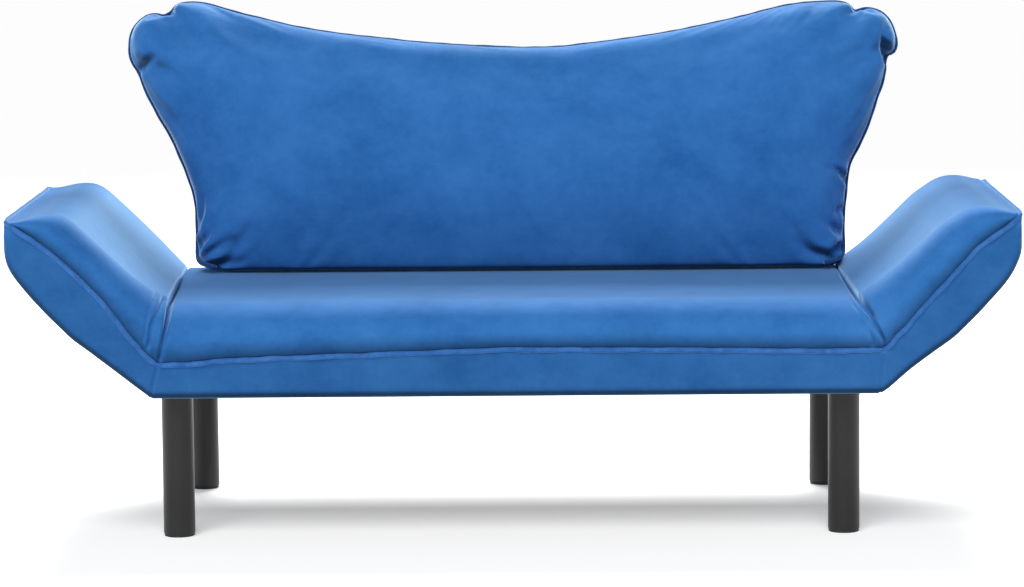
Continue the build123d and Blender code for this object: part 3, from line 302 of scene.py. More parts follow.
def pad_section(front, rear, low, seam, top, lip, rear_round, rear_level, rear_foot):
    """Closed section of the pads: depth and height, from under the middle round by the front."""
    middle = (SEAT_FRONT + SEAT_REAR) / 2
    tall = max(top - seam, 0.0005)
    small = min(BAND_RADIUS, 0.4 * (seam - low) + 0.0002)
    lip = min(lip, 0.9 * tall)
    rear_round = min(rear_round, 0.62 * tall)
    rear_level = min(rear_level, top - 0.5 * (top - low))
    foot = min(rear_foot, 0.3 * (top - low))
    swell = 0.003 + 0.03 * tall
    groove = min(0.003, 0.3 * tall)
    parts = [
        straight((middle, low), (front + HEM_REACH, low), HEM_ROWS),
        straight((front + HEM_REACH, low), (front + small, low), UNDER_ROWS),
        curve_points((front + small, low), (front + small * 0.45, low),
                     (front, low + small * 0.45), (front, low + small), ROUND_ROWS),
        straight((front, low + small), (front, seam - groove), BAND_ROWS),
        straight((front, seam - groove), (front + groove, seam), 1),
        straight((front + groove, seam), (front, seam + groove), 1),
        curve_points((front, seam + groove), (front - swell * 1.6, seam + 0.35 * tall),
                     (front - swell * 0.4, top - 0.1 * lip), (front + lip, top), SWELL_ROWS),
        straight((front + lip, top), (rear - rear_round, top), FLAT_ROWS),
        curve_points((rear - rear_round, top), (rear - 0.45 * rear_round, top),
                     (rear, rear_level + 0.55 * (top - rear_level)), (rear, rear_level), 16),
        straight((rear, rear_level), (rear, low + foot), 10),
        curve_points((rear, low + foot), (rear, low + 0.4 * foot),
                     (rear - foot * 0.4, low), (rear - foot, low), ROUND_ROWS),
        straight((rear - foot, low), (rear - foot - REAR_HEM, low), UNDER_ROWS),
        straight((rear - foot - REAR_HEM, low), (middle, low), HEM_ROWS),
    ]
    return np.vstack(parts)


def seat_section(x):
    """The pads' section across the seat."""
    return pad_section(SEAT_FRONT, SEAT_REAR, 0.0, along(SEAM_ON_SEAT, x), PAD_THICKNESS,
                       SEAT_NOSE, NOSE_RADIUS, BACK_PIVOT.z - UNDERSIDE, REAR_FOOT)


TIP_ROUND, TIP_TUCK = 0.022, 0.016  # the corners of an arm's tip: how long, and how far in


def arm_section(side, u):
    """The pads' section across an arm, square to the arm."""
    length = ARM_LENGTH[side]
    close = max(0.0, 1.0 - (length - u) / TIP_ROUND)
    inward = TIP_TUCK * (1.0 - math.sqrt(max(0.0, 1.0 - close ** 2)))
    return pad_section(SEAT_FRONT + inward, SEAT_REAR - inward, along(ARM_BOTTOM[side], u),
                       along(SEAM_ON_ARM[side], u), along(ARM_TOP[side], u), SEAT_NOSE,
                       ARM_REAR_ROUND, PAD_THICKNESS - ARM_REAR_ROUND, BAND_RADIUS)


CREASE_SLANT = {LEFT: 0.034, RIGHT: -0.004}


def crease_reach(side, height, y):
    """How far out the seat ends, at a height and a depth."""
    reach = along(CREASE[side], height)
    return reach + CREASE_SLANT[side] * np.clip(y - SEAT_FRONT - 0.04, 0.0, 0.5) * (height > 0.12)


# Stations lie close together next to each crease, where the folds are pressed in, and again
# at the tips, where the arms round off.
SEAT_REACH, SEAM_REACH = 0.55, 0.56
near = np.arange(1, 29) * 0.0028 / SEAT_REACH
seat_ts = np.unique(np.concatenate([np.linspace(0.0, 1 - near[-1] - 0.006, 62), 1 - near, [1.0]]))
arm_ts = {}
for side in (LEFT, RIGHT):
    fine = np.arange(1, 34) * 0.003
    middle_part = np.arange(fine[-1] + 0.0045, ARM_LENGTH[side] - 0.055, 0.006)
    tip = ARM_LENGTH[side] - 0.052 * (1 - np.sin(np.linspace(0.0, math.pi / 2, 16)))
    arm_ts[side] = np.concatenate([fine, middle_part, tip]) / ARM_LENGTH[side]

section_us = np.linspace(0.0, 1.0, 241)
arm_table = {side: np.array([arm_section(side, u * ARM_LENGTH[side]) for u in section_us])
             for side in (LEFT, RIGHT)}


def seat_station(side, t):
    """Points round the pads at a share of the way from the middle to the crease."""
    section = seat_section(side * t * SEAM_REACH)
    reach = crease_reach(side, section[:, 1], section[:, 0])
    x = side * t * reach
    return np.column_stack([x, section[:, 0], section[:, 1] + UNDERSIDE]), (1 - t) * reach


CREASE_FADE = 0.045  # how far the shape of the crease is felt along an arm


def arm_station(side, t):
    """Points round the pads at a share of the way from the crease to the arm's tip."""
    base, _ = seat_station(side, 1.0)
    height = base[:, 2] - UNDERSIDE
    out = np.abs(base[:, 0]) - CORNER_X
    u0, v0 = (out + height) * SLOPE, (height - out) * SLOPE
    u = u0 + (ARM_LENGTH[side] - u0) * t
    share = np.clip(u / ARM_LENGTH[side], 0.0, 1.0)
    start = np.clip(u0 / ARM_LENGTH[side], 0.0, 1.0)
    table = arm_table[side]
    rows = range(table.shape[1])
    y = np.array([np.interp(share[k], section_us, table[:, k, 0]) for k in rows])
    v = np.array([np.interp(share[k], section_us, table[:, k, 1]) for k in rows])
    y_start = np.array([np.interp(start[k], section_us, table[:, k, 0]) for k in rows])
    v_start = np.array([np.interp(start[k], section_us, table[:, k, 1]) for k in rows])
    fade = np.exp(-((u - u0) / CREASE_FADE) ** 1.5)
    y = y + (base[:, 1] - y_start) * fade
    v = v + (v0 - v_start) * fade
    x = side * (CORNER_X + (u - v) * SLOPE)
    return np.column_stack([x, y, UNDERSIDE + (u + v) * SLOPE]), -(u - u0)


stations, crease_distance, station_side = [], [], []
for side in (LEFT, RIGHT):
    run = [(arm_station, t) for t in arm_ts[side][::-1]]
    run += [(seat_station, t) for t in seat_ts[::-1]]
    if side == RIGHT:
        run = run[:-1][::-1]
    for make, t in run:
        points, distance = make(side, t)
        stations.append(points)
        crease_distance.append(distance)
        station_side.append(side)
pads = np.array(stations)
crease_distance = np.array(crease_distance)
station_side = np.array(station_side)


def grid_normals(grid):
    """Outward normals of a grid of points that closes along its second axis."""
    along_run = np.gradient(grid, axis=0)
    ahead = np.roll(grid, -1, axis=1) - np.roll(grid, 1, axis=1)
    normal = np.cross(along_run, ahead)
    length = np.linalg.norm(normal, axis=2, keepdims=True)
    return normal / np.maximum(length, 1e-9)


# The fold at each end of the seat, and the smaller folds that fan out from it on the front.
# Each fold is a line of height and place, where a positive place lies on the seat, with how
# deep and how wide it is.
FOLDS = {
    LEFT: (
        (((0.060, -0.022), (0.087, -0.024), (0.103, -0.020), (0.123, -0.013), (0.139, -0.002)),
         0.0060, 0.0030),
        (((0.065, -0.032), (0.098, -0.034), (0.119, -0.027), (0.135, -0.018)), 0.0025, 0.0030),
        (((0.057, 0.002), (0.079, 0.002), (0.103, 0.002), (0.126, 0.001), (0.139, 0.0)),
         0.0050, 0.0030),
    ),
    RIGHT: (
        (((0.083, -0.002), (0.100, -0.004), (0.118, -0.004), (0.135, -0.010), (0.149, -0.018)),
         0.0050, 0.0030),
        (((0.072, 0.020), (0.102, 0.016), (0.121, 0.014), (0.140, 0.012)), 0.0030, 0.0035),
    ),
}


def press_folds(grid, distance, sides):
    """Press the folds into the pads: how far each point moves inwards."""
    depth = grid[:, :, 1]
    rows = np.arange(grid.shape[1])
    inward = np.zeros(depth.shape)
    for index in range(len(grid)):
        side = sides[index]
        d = distance[index]
        height = pad_heights[index]
        on_top = np.clip((height - 0.055) / 0.085, 0.0, 1.0)
        on_top = on_top * on_top * (3 - 2 * on_top)
        behind = rows > TOP_ROWS[1]
        deep = 0.003 + 0.008 * on_top * np.clip((0.10 - depth[index]) / 0.10, 0.0, 1.0)
        deep = np.where(rows < SEAM_ROW, 0.0012, deep)
        wide = np.maximum(deep * 0.9, 0.004)
        q = np.clip(1 - np.abs(d) / wide, 0.0, 1.0)
        shoulder = 1 - np.sqrt(np.maximum(0.0, 1 - q ** 2))
        slit = np.exp(-(d / 0.0024) ** 2)
        move = deep * (shoulder + 0.45 * slit)
        for line, fold_depth, fold_width in FOLDS[side]:
            heights, places = np.array(line).T
            place = np.interp(height, heights, places)
            fades = (np.clip((height - heights[0] + 0.004) / 0.010, 0, 1)
                     * np.clip((heights[-1] + 0.010 - height) / 0.014, 0, 1))
            fades = np.where((rows > SEAM_ROW) & ~behind & (depth[index] < SEAT_FRONT + 0.07),
                             fades, 0.0)
            move = move + fold_depth * fades * np.exp(-((d - place) / fold_width) ** 2)
        inward[index] = move
    return inward


pad_heights = np.where(crease_distance >= 0, pads[:, :, 2] - UNDERSIDE,
                       ((pads[:, :, 2] - UNDERSIDE) - (np.abs(pads[:, :, 0]) - CORNER_X)) * SLOPE)
normals = grid_normals(pads)
LOOK = TOP_ROWS[0] - 1  # a row and a station on top of the pads, to look up directions by
outward = np.sign(np.sum(normals[LOOK, LOOK] * (pads[LOOK, LOOK] - pads[LOOK].mean(axis=0))))
normals *= outward
pads = pads - normals * press_folds(pads, crease_distance, station_side)[:, :, None]
# Each arm's tip closes on its seam.
for tip in (0, -1):
    pads[tip, :, 0] = pads[tip, SEAM_ROW, 0]
    pads[tip, :, 2] = pads[tip, SEAM_ROW, 2]


def grid_faces(first, last, width, skip=None):
    """Quads between stations, closing round the section."""
    faces = []
    for i in range(first, last):
        for k in range(width):
            if skip is not None and skip(i, k):
                continue
            following = (k + 1) % width
            a, b = (i - first) * width, (i - first + 1) * width
            faces.append((a + k, a + following, b + following, b + k))
    return faces


width = pads.shape[1]
open_reach = CORNER_X - HEM_REACH


def skip_liner(i, k):
    """Leave the underside open inside the hem, where the dust cloth closes it."""
    under = k < HEM_ROWS or k >= width - HEM_ROWS
    return under and abs(pads[i, 0, 0]) < open_reach and abs(pads[i + 1, 0, 0]) < open_reach \
        and crease_distance[i, 0] > 0.004 and crease_distance[i + 1, 0] > 0.004


def new_piece(name, points, faces, material):
    """A smooth mesh piece with its faces turned outwards and no loose or doubled points."""
    mesh = bpy.data.meshes.new(name)
    mesh.from_pydata([tuple(p) for p in points], [], faces)
    work = bmesh.new()
    work.from_mesh(mesh)
    bmesh.ops.remove_doubles(work, verts=work.verts, dist=0.00005)
    bmesh.ops.recalc_face_normals(work, faces=work.faces)
    loose = [v for v in work.verts if not v.link_faces]
    bmesh.ops.delete(work, geom=loose, context="VERTS")
    for face in work.faces:
        face.smooth = True
    work.to_mesh(mesh)
    work.free()
    mesh.materials.append(material)
    piece = bpy.data.objects.new(name, mesh)
    bpy.context.scene.collection.objects.link(piece)
    return piece


def painted_shade_below(material, colour, darkest, lightest):
    """Painted shade: darken the colour where the cover's normal turns downwards, down to 0.22 of it,
    for the shade under the cover.
    """
    facing = add_node(material, "ShaderNodeNewGeometry")
    parts = add_node(material, "ShaderNodeSeparateXYZ")
    painted_shade_factor = add_node(material, "ShaderNodeMapRange", {"interpolation_type": "SMOOTHSTEP"},
                            {"From Min": darkest, "From Max": lightest, "To Min": 0.22,
                             "To Max": 1.0})
    mix = add_node(material, "ShaderNodeMix", {"data_type": "RGBA", "blend_type": "MULTIPLY"},
                   {"Factor": 1.0})
    wire(material, facing, "Normal", parts, "Vector")
    wire(material, parts, "Z", painted_shade_factor, "Value")
    material.node_tree.links.new(colour.outputs["Color"], mix.inputs[6])
    material.node_tree.links.new(painted_shade_factor.outputs["Result"], mix.inputs[7])
    material.node_tree.links.new(mix.outputs[2],
                                 material.node_tree.nodes["Principled BSDF"].inputs["Base Color"])


def new_velvet(name, darkest, lightest):
    """Blue short-pile velvet with brushed nap marks, a pale sheen at grazing angles, and painted
    shade where the cover faces down.
    """
    velvet = new_material(name, (0.030, 0.141, 0.456), 0.75, specular=0.06)
    shader = velvet.node_tree.nodes["Principled BSDF"]
    shader.inputs["Sheen Weight"].default_value = 0.9
    shader.inputs["Sheen Roughness"].default_value = 0.35
    shader.inputs["Sheen Tint"].default_value = (0.48, 0.76, 1.0, 1.0)
    nap = noise(velvet, 8.0, detail=12.0, roughness=0.78, stretch=(0.8, 1.0, 1.0))
    nap_colour = colour_by(velvet, nap, ((0.34, (0.017, 0.105, 0.325)),
                                         (0.50, (0.027, 0.136, 0.390)),
                                         (0.66, (0.037, 0.162, 0.440))))
    # Painted shade: the nap colour is darkened where the cover faces down.
    painted_shade_below(velvet, nap_colour, darkest, lightest)
    value_by(velvet, noise(velvet, 26.0, detail=6.0), 0.78, 0.94, "Roughness")
    bump_by(velvet, noise(velvet, 7.0, detail=3.0), 0.003, 0.3)
    bump_by(velvet, noise(velvet, 45.0, detail=4.0, stretch=(0.35, 1.0, 1.0)), 0.0008, 0.3)
    bump_by(velvet, noise(velvet, 520.0, detail=3.0), 0.0006, 0.5)
    return velvet


# Painted shade on the pads: full where the cover's normal points down at -0.50, none from 0.28 up.
velvet = new_velvet("velvet", -0.50, 0.28)

SPLIT_FROM_CREASE = 0.088  # the mesh is in two pieces, which meet on the seat
on_left = (station_side == LEFT) * 9
split = int(np.argmin(np.abs(crease_distance[:, LOOK] - SPLIT_FROM_CREASE) + on_left))
pad_pieces = {}
for side, first, last, name in ((LEFT, 0, split, "seat_and_left_arm_pad"),
                                (RIGHT, split, len(pads) - 1, "right_arm_pad")):
    piece = new_piece(name, pads[first:last + 1].reshape(-1, 3),
                      grid_faces(first, last, width, skip_liner), velvet)
    pad_pieces[side] = piece
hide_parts("seat_foam", "seat_cover", "left_arm_foam", "left_arm_cover")
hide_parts("right_arm_foam", "right_arm_cover")


def bend_with_arm(piece):
    """Bake the piece's placement into its points."""
    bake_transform(piece)


for side, body in ((LEFT, "left_arm"), (RIGHT, "right_arm")):
    bend_with_arm(pad_pieces[side])

# ---- Back frame ----
# A bent round-tube frame with woven straps across it, inside the back cushion. Its two flat
# bars come down through the cover to the ratchet heads at the hinge.
webbing = new_material("webbing", (0.16, 0.15, 0.14), 0.85, specular=0.2)
webbing_threads = add_node(webbing, "ShaderNodeTexWave", {"bands_direction": "X"},
                           {"Scale": 160.0, "Distortion": 0.6, "Detail": 2.0})
webbing_coords = add_node(webbing, "ShaderNodeTexCoord")
wire(webbing, webbing_coords, "Object", webbing_threads, "Vector")
colour_by(webbing, webbing_threads, ((0.2, (0.11, 0.10, 0.095)), (0.8, (0.20, 0.19, 0.175))))
bump_by(webbing, webbing_threads, 0.0008, 0.7)
dress(webbing, "back_straps")
dress(frame_paint, "back_frame")

# ---- Back cushion ----
# A soft filled cushion in the same velvet, cut to the wing shape from a front and a rear panel
# that meet in a piped seam round the edge. It stands on the seat, and its top corners are
# gathered into two small lobes each.
LEAN = math.radians(15.0)
BACK_UP = np.array((0.0, math.sin(LEAN), math.cos(LEAN)))
BACK_FORWARD = np.array((0.0, -math.cos(LEAN), math.sin(LEAN)))
BACK_SEAM, BACK_FACE, BACK_REAR = 0.035, 0.100, -0.035
FOOT_GAP = 0.0030
SEAT_LEVEL = UNDERSIDE + PAD_THICKNESS + FOOT_GAP
# The outline of the panels, from the foot of the left side over the top to the foot of the
# right side: how far right of the middle, and how far up from the hinge.
WING_OUTLINE = (
    (-0.512, 0.060), (-0.526, 0.078), (-0.532, 0.105), (-0.533, 0.150), (-0.5335, 0.188),
    (-0.535, 0.209), (-0.539, 0.229), (-0.546, 0.250), (-0.553, 0.270), (-0.562, 0.291),
    (-0.571, 0.312), (-0.581, 0.332), (-0.594, 0.353), (-0.605, 0.374), (-0.616, 0.395),
    (-0.625, 0.415), (-0.630, 0.430), (-0.635, 0.440), (-0.643, 0.452), (-0.648, 0.466),
    (-0.649, 0.482), (-0.648, 0.498), (-0.641, 0.517), (-0.628, 0.532), (-0.612, 0.540),
    (-0.594, 0.5405), (-0.582, 0.538), (-0.577, 0.546), (-0.568, 0.556), (-0.554, 0.560),
    (-0.524, 0.560), (-0.490, 0.551), (-0.455, 0.540), (-0.421, 0.532), (-0.387, 0.523),
    (-0.353, 0.515), (-0.286, 0.504), (-0.218, 0.496), (-0.150, 0.488), (-0.048, 0.481),
    (0.020, 0.478), (0.087, 0.479), (0.121, 0.483), (0.189, 0.491), (0.257, 0.501),
    (0.325, 0.514), (0.393, 0.529), (0.427, 0.538), (0.461, 0.546), (0.495, 0.551),
    (0.529, 0.553), (0.558, 0.553), (0.575, 0.547), (0.587, 0.535), (0.596, 0.541),
    (0.612, 0.540), (0.630, 0.533), (0.642, 0.521), (0.650, 0.505), (0.655, 0.487),
    (0.655, 0.472), (0.650, 0.461), (0.640, 0.456), (0.633, 0.451), (0.636, 0.442),
    (0.634, 0.425), (0.629, 0.405), (0.621, 0.384), (0.607, 0.343), (0.590, 0.304),
    (0.578, 0.282), (0.570, 0.261), (0.565, 0.220), (0.561, 0.180), (0.560, 0.118),
    (0.558, 0.085), (0.550, 0.060),
)


def smooth_line(points, spacing, closed=False):
    """A flowing line through points, evenly spaced."""
    points = np.array(points, float)
    if closed:
        points = np.vstack([points[-1:], points, points[:2]])
    else:
        points = np.vstack([2 * points[0] - points[1], points, 2 * points[-1] - points[-2]])
    t = np.linspace(0.0, 1.0, 9)[:-1, None]
    run = []
    for p0, p1, p2, p3 in zip(points, points[1:], points[2:], points[3:]):
        run.append(0.5 * ((2 * p1) + (p2 - p0) * t + (2 * p0 - 5 * p1 + 4 * p2 - p3) * t ** 2
                          + (3 * p1 - p0 - 3 * p2 + p3) * t ** 3))
    run = np.vstack(run + ([] if closed else [points[-2][None, :]]))
    if closed:
        run = np.vstack([run, run[:1]])
    length = np.concatenate([[0.0], np.cumsum(np.linalg.norm(np.diff(run, axis=0), axis=1))])
    places = np.linspace(0.0, length[-1], max(3, int(length[-1] / spacing)))
    return np.column_stack([np.interp(places, length, run[:, k]) for k in range(run.shape[1])])


def remeshed(name, mesh, voxel):
    """The same closed shape as an even net of small quads."""
    carrier = bpy.data.objects.new(name, mesh)
    bpy.context.scene.collection.objects.link(carrier)
    modifier = carrier.modifiers.new("even", "REMESH")
    modifier.mode = "VOXEL"
    modifier.voxel_size = voxel
    bpy.context.view_layer.update()
    result = bpy.data.meshes.new_from_object(carrier.evaluated_get(
        bpy.context.evaluated_depsgraph_get()))
    bpy.data.objects.remove(carrier)
    return result


def mesh_points(mesh):
    """The points of a mesh as an array."""
    points = np.empty(len(mesh.vertices) * 3)
    mesh.vertices.foreach_get("co", points)
    return points.reshape(-1, 3)


def set_points(mesh, points):
    """Put an array of points back into a mesh."""
    mesh.vertices.foreach_set("co", np.ascontiguousarray(points, dtype=np.float32).ravel())
    mesh.update()


def edge_distance(points, line):
    """Distance from each point of a plane to a line of points."""
    best = np.full(len(points), 9.0)
    for a, b in zip(line, line[1:]):
        ab = b - a
        share = np.clip(((points - a) @ ab) / max(ab @ ab, 1e-12), 0.0, 1.0)
        gap = points - a - share[:, None] * ab
        best = np.minimum(best, np.hypot(gap[:, 0], gap[:, 1]))
    return best


def soften(mesh, rounds, share=0.5):
    """Even out a mesh by moving each point towards the middle of its neighbours."""
    points = mesh_points(mesh)
    edges = np.empty(len(mesh.edges) * 2, dtype=np.int64)
    mesh.edges.foreach_get("vertices", edges)
    a, b = edges.reshape(-1, 2).T
    count = np.bincount(np.concatenate([a, b]), minlength=len(points))[:, None]
    for _ in range(rounds):
        total = np.zeros_like(points)
        np.add.at(total, a, points[b])
        np.add.at(total, b, points[a])
        points = points * (1 - share) + total / np.maximum(count, 1) * share
    set_points(mesh, points)


wing_line = smooth_line(WING_OUTLINE, 0.004)
heading = np.roll(wing_line, -1, axis=0) - np.roll(wing_line, 1, axis=0)
heading /= np.linalg.norm(heading, axis=1, keepdims=True)
SEAM_INSET = 0.004  # the seam lies inside the outer edge of its piping
seam_inset = SEAM_INSET * np.clip((wing_line[:, 1:] - 0.07) / 0.03, 0.0, 1.0)
wing_line = wing_line - np.column_stack([-heading[:, 1], heading[:, 0]]) * seam_inset
count = len(wing_line)
# The two panels lie flat at first, and are then drawn out to their fullness.
HALF_BLANK = 0.010
blank = bpy.data.meshes.new("back_blank")
blank.from_pydata([(x, w, n) for n in (-HALF_BLANK, HALF_BLANK) for x, w in wing_line], [],
                  [tuple(range(count))[::-1], tuple(range(count, 2 * count))]
                  + [(i, (i + 1) % count, (i + 1) % count + count, i + count)
                     for i in range(count)])
back_mesh = remeshed("back_blank", blank, 0.004)
points = mesh_points(back_mesh)
edge = edge_distance(points[:, :2], wing_line)
ROUND_SIDE, FOOT_ROUND, FOOT_TUCK = 0.036, 0.110, 0.030
FOOT_EDGE, FOOT_EASED, FOOT_RUN = 0.060, 0.170, 0.110
PANEL_DROP, SEAM_STEP, CROWN = 0.006, 0.004, 0.006


def rounding(distance, reach):
    """Quarter-round rise from the seam to the face."""
    q = np.clip(distance / reach, 0.0, 1.0)
    return np.sqrt(np.maximum(0.0, 1.0 - (1.0 - q) ** 2))


def seat_contact(forward):
    """How far up the leaning back the seat lies, at a place forward of the hinge."""
    return (SEAT_LEVEL - BACK_PIVOT.z - forward * math.sin(LEAN)) / math.cos(LEAN)


foot = np.clip((points[:, 1] - FOOT_EDGE) / FOOT_ROUND, 0.0, 1.0)
face = (BACK_SEAM + SEAM_STEP + (BACK_FACE - BACK_SEAM - PANEL_DROP) * rounding(edge, ROUND_SIDE)
        + CROWN * np.clip(edge / 0.20, 0.0, 1.0))
face -= FOOT_TUCK * (1 - rounding(foot * FOOT_ROUND, FOOT_ROUND)) * rounding(edge, ROUND_SIDE)
rear = (BACK_SEAM - SEAM_STEP
        - (BACK_SEAM - BACK_REAR - PANEL_DROP) * rounding(edge, ROUND_SIDE * 0.8))
share = np.clip((points[:, 2] + HALF_BLANK) / (2 * HALF_BLANK), 0.0, 1.0)
forward = rear + (face - rear) * share
contact = seat_contact(forward)
eased = contact + (points[:, 1] - FOOT_EDGE) * (FOOT_EASED - contact) / FOOT_RUN
up = np.where(points[:, 1] < FOOT_EASED, eased, points[:, 1])
set_points(back_mesh, np.column_stack([points[:, 0], up, forward]))
back_mesh = remeshed("back_shape", back_mesh, 0.0055)
soften(back_mesh, 3)


def above_seat(points):
    """Keep the cushion's foot on the seat."""
    points[:, 1] = np.maximum(points[:, 1], seat_contact(points[:, 2]))
    return points


set_points(back_mesh, above_seat(mesh_points(back_mesh)))
back_cushion = bpy.data.objects.new("back_cushion", back_mesh)
bpy.context.scene.collection.objects.link(back_cushion)

# The filling pushes the panels out as cloth, held along the seam, at the foot and at the rear.
FILL_STEPS, FILL_CAP = 20, 0.022
still = mesh_points(back_mesh)
edge = edge_distance(still[:, :2], wing_line)
held = (edge < 0.007) & (np.abs(still[:, 2] - BACK_SEAM) < 0.016)
held |= still[:, 1] < seat_contact(still[:, 2]) + 0.004
held |= (still[:, 2] < BACK_REAR + 0.012) & (edge > 0.06)
seam_group = back_cushion.vertex_groups.new(name="seam")
seam_group.add([int(i) for i in np.flatnonzero(held)], 1.0, "REPLACE")
cloth = back_cushion.modifiers.new("fill", "CLOTH")
settings = cloth.settings
settings.quality = 4
settings.mass = 0.3
settings.tension_stiffness = settings.compression_stiffness = 12.0
settings.shear_stiffness = 4.0
settings.bending_stiffness = 0.4
settings.use_pressure = True
settings.uniform_pressure_force = 4.0
settings.effector_weights.gravity = 0.0
settings.vertex_group_mass = "seam"
cloth.point_cache.frame_start, cloth.point_cache.frame_end = 1, FILL_STEPS
for step in range(1, FILL_STEPS + 1):
    bpy.context.scene.frame_set(step)
filled = bpy.data.meshes.new_from_object(back_cushion.evaluated_get(
    bpy.context.evaluated_depsgraph_get()))
moved = mesh_points(filled) - still
bpy.context.scene.frame_set(1)
back_cushion.modifiers.remove(cloth)
back_cushion.vertex_groups.clear()
bpy.data.meshes.remove(filled)
moved[:, :2] *= 0.3
far = np.linalg.norm(moved, axis=1, keepdims=True)
moved *= FILL_CAP * np.tanh(far / FILL_CAP) / np.maximum(far, 1e-9)
set_points(back_mesh, above_seat(still + moved))
soften(back_mesh, 1, 0.4)

# Creases pressed in after filling: lines of the face, each with how deep and how wide it is.
BACK_CREASES = (
    (((-0.582, 0.542), (-0.560, 0.530), (-0.552, 0.512), (-0.556, 0.490)), 0.006, 0.008),
    (((-0.578, 0.536), (-0.598, 0.530), (-0.612, 0.524)), 0.006, 0.005),
    (((-0.632, 0.436), (-0.618, 0.440), (-0.600, 0.452)), 0.004, 0.006),
    (((0.588, 0.540), (0.578, 0.528), (0.560, 0.520)), 0.006, 0.006),
    (((0.590, 0.538), (0.606, 0.528), (0.620, 0.524)), 0.005, 0.005),
    (((0.634, 0.448), (0.628, 0.466), (0.628, 0.484), (0.632, 0.494)), 0.009, 0.006),
    (((-0.530, 0.130), (-0.510, 0.150), (-0.500, 0.176)), 0.007, 0.007),
    (((-0.532, 0.165), (-0.520, 0.190), (-0.518, 0.215)), 0.005, 0.006),
    (((-0.528, 0.112), (-0.500, 0.122), (-0.470, 0.140)), 0.006, 0.007),
    (((-0.522, 0.100), (-0.490, 0.100), (-0.455, 0.106)), 0.005, 0.007),
    (((0.562, 0.240), (0.548, 0.252), (0.530, 0.256)), 0.006, 0.005),
    (((0.560, 0.190), (0.548, 0.186), (0.540, 0.178)), 0.005, 0.005),
    (((0.556, 0.130), (0.544, 0.120), (0.538, 0.092)), 0.012, 0.006),
    (((0.556, 0.145), (0.530, 0.160), (0.505, 0.185)), 0.005, 0.008),
    (((0.535, 0.105), (0.500, 0.112), (0.470, 0.130)), 0.005, 0.008),
)
points = mesh_points(back_mesh)
front_side = np.clip((points[:, 2] - BACK_SEAM) / 0.020, 0.0, 1.0)
press = np.zeros(len(points))
for line, crease_depth, crease_width in BACK_CREASES:
    line = smooth_line(line, 0.004)
    near_line = edge_distance(points[:, :2], line)
    end_fade = np.clip(1.25 - edge_distance(points[:, :2], line[:2]) / np.linalg.norm(
        line[-1] - line[0]), 0.15, 1.0)
    press += crease_depth * end_fade * (np.exp(-(near_line / crease_width) ** 2)
                                        - 0.3 * np.exp(-((near_line - 2.2 * crease_width)
                                                         / crease_width) ** 2))
vertex_normals = np.empty(len(points) * 3)
back_mesh.vertices.foreach_get("normal", vertex_normals)
points -= vertex_normals.reshape(-1, 3) * (press * front_side)[:, None]
points = above_seat(points)
place = np.array(BACK_PIVOT)
set_points(back_mesh, place + points[:, :1] * np.array((1.0, 0.0, 0.0))
           + points[:, 1:2] * BACK_UP + points[:, 2:3] * BACK_FORWARD)
back_mesh.materials.clear()
# The back cushion's copy of the velvet, with painted shade only where the cover faces down: full at
# -0.60, none from -0.05 up.
back_mesh.materials.append(new_velvet("back_velvet", -0.60, -0.05))
back_mesh.polygons.foreach_set("use_smooth", np.ones(len(back_mesh.polygons), dtype=bool))
turning = bmesh.new()
turning.from_mesh(back_mesh)
bmesh.ops.recalc_face_normals(turning, faces=turning.faces)
turning.to_mesh(back_mesh)
turning.free()
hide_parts("back_foam", "back_cover")
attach(back_cushion, "backrest")

# ---- Piping of the pads ----
# A cord in a bias-cut sleeve of the velvet, sewn into the seam between the band and the pad. It
# runs along the front, round each arm's tip and back along its rear side.
PIPING_RADIUS = 0.0040


def new_piping_velvet(name, dark, light):
    """Velvet of a piping sleeve: cut on the bias, so its nap looks finer and more even."""
    material = new_material(name, light, 0.7, specular=0.1)
    shader = material.node_tree.nodes["Principled BSDF"]
    shader.inputs["Sheen Weight"].default_value = 0.7
    shader.inputs["Sheen Roughness"].default_value = 0.35
    shader.inputs["Sheen Tint"].default_value = (0.48, 0.76, 1.0, 1.0)
    colour_by(material, noise(material, 60.0, detail=5.0), ((0.35, dark), (0.65, light)))
    value_by(material, noise(material, 80.0), 0.7, 0.9, "Roughness")
    bump_by(material, noise(material, 480.0, detail=3.0), 0.0005, 0.5)
    return material


piping_velvet = new_piping_velvet("piping_velvet", (0.020, 0.100, 0.320), (0.036, 0.146, 0.420))


def ripple(places, size, seed):
    """Small even wander along a seam, from a few long waves."""
    waves = ((23.0, 0.5), (41.0, 0.35), (67.0, 0.25), (103.0, 0.15))
    return size * sum(share * np.sin(places * rate + seed * (1.7 + rate * 0.13))
                      for rate, share in waves)


def new_piping(name, line, radius, material, sides=12):
    """A round piping cord along a line of points, closed at both ends."""
    line = smooth_line(line, 0.005)
    heading = np.gradient(line, axis=0)
    heading /= np.linalg.norm(heading, axis=1, keepdims=True)
    across = np.cross(heading[0], (0.0, 0.0, 1.0))
    if np.linalg.norm(across) < 0.1:
        across = np.cross(heading[0], (0.0, 1.0, 0.0))
    turn = np.linspace(0.0, 2 * math.pi, sides, endpoint=False)
    rings = []
    reach = np.concatenate([[0.0], np.cumsum(np.linalg.norm(np.diff(line, axis=0), axis=1))])
    thickness = radius * (1.0 + 0.05 * np.sin(reach * 160.0) + 0.04 * np.sin(reach * 57.0))
    for middle, ahead, thick in zip(line, heading, thickness):
        across = across - ahead * (across @ ahead)
        across /= np.linalg.norm(across)
        other = np.cross(ahead, across)
        rings.append(middle + thick * (np.cos(turn)[:, None] * across
                                       + np.sin(turn)[:, None] * other))
    faces = []
    for i in range(len(rings) - 1):
        for k in range(sides):
            a, b, following = i * sides, (i + 1) * sides, (k + 1) % sides
            faces.append((a + k, a + following, b + following, b + k))
    last = (len(rings) - 1) * sides
    faces.append(tuple(range(sides))[::-1])
    faces.append(tuple(last + k for k in range(sides)))
    return new_piece(name, np.vstack(rings), faces, material)


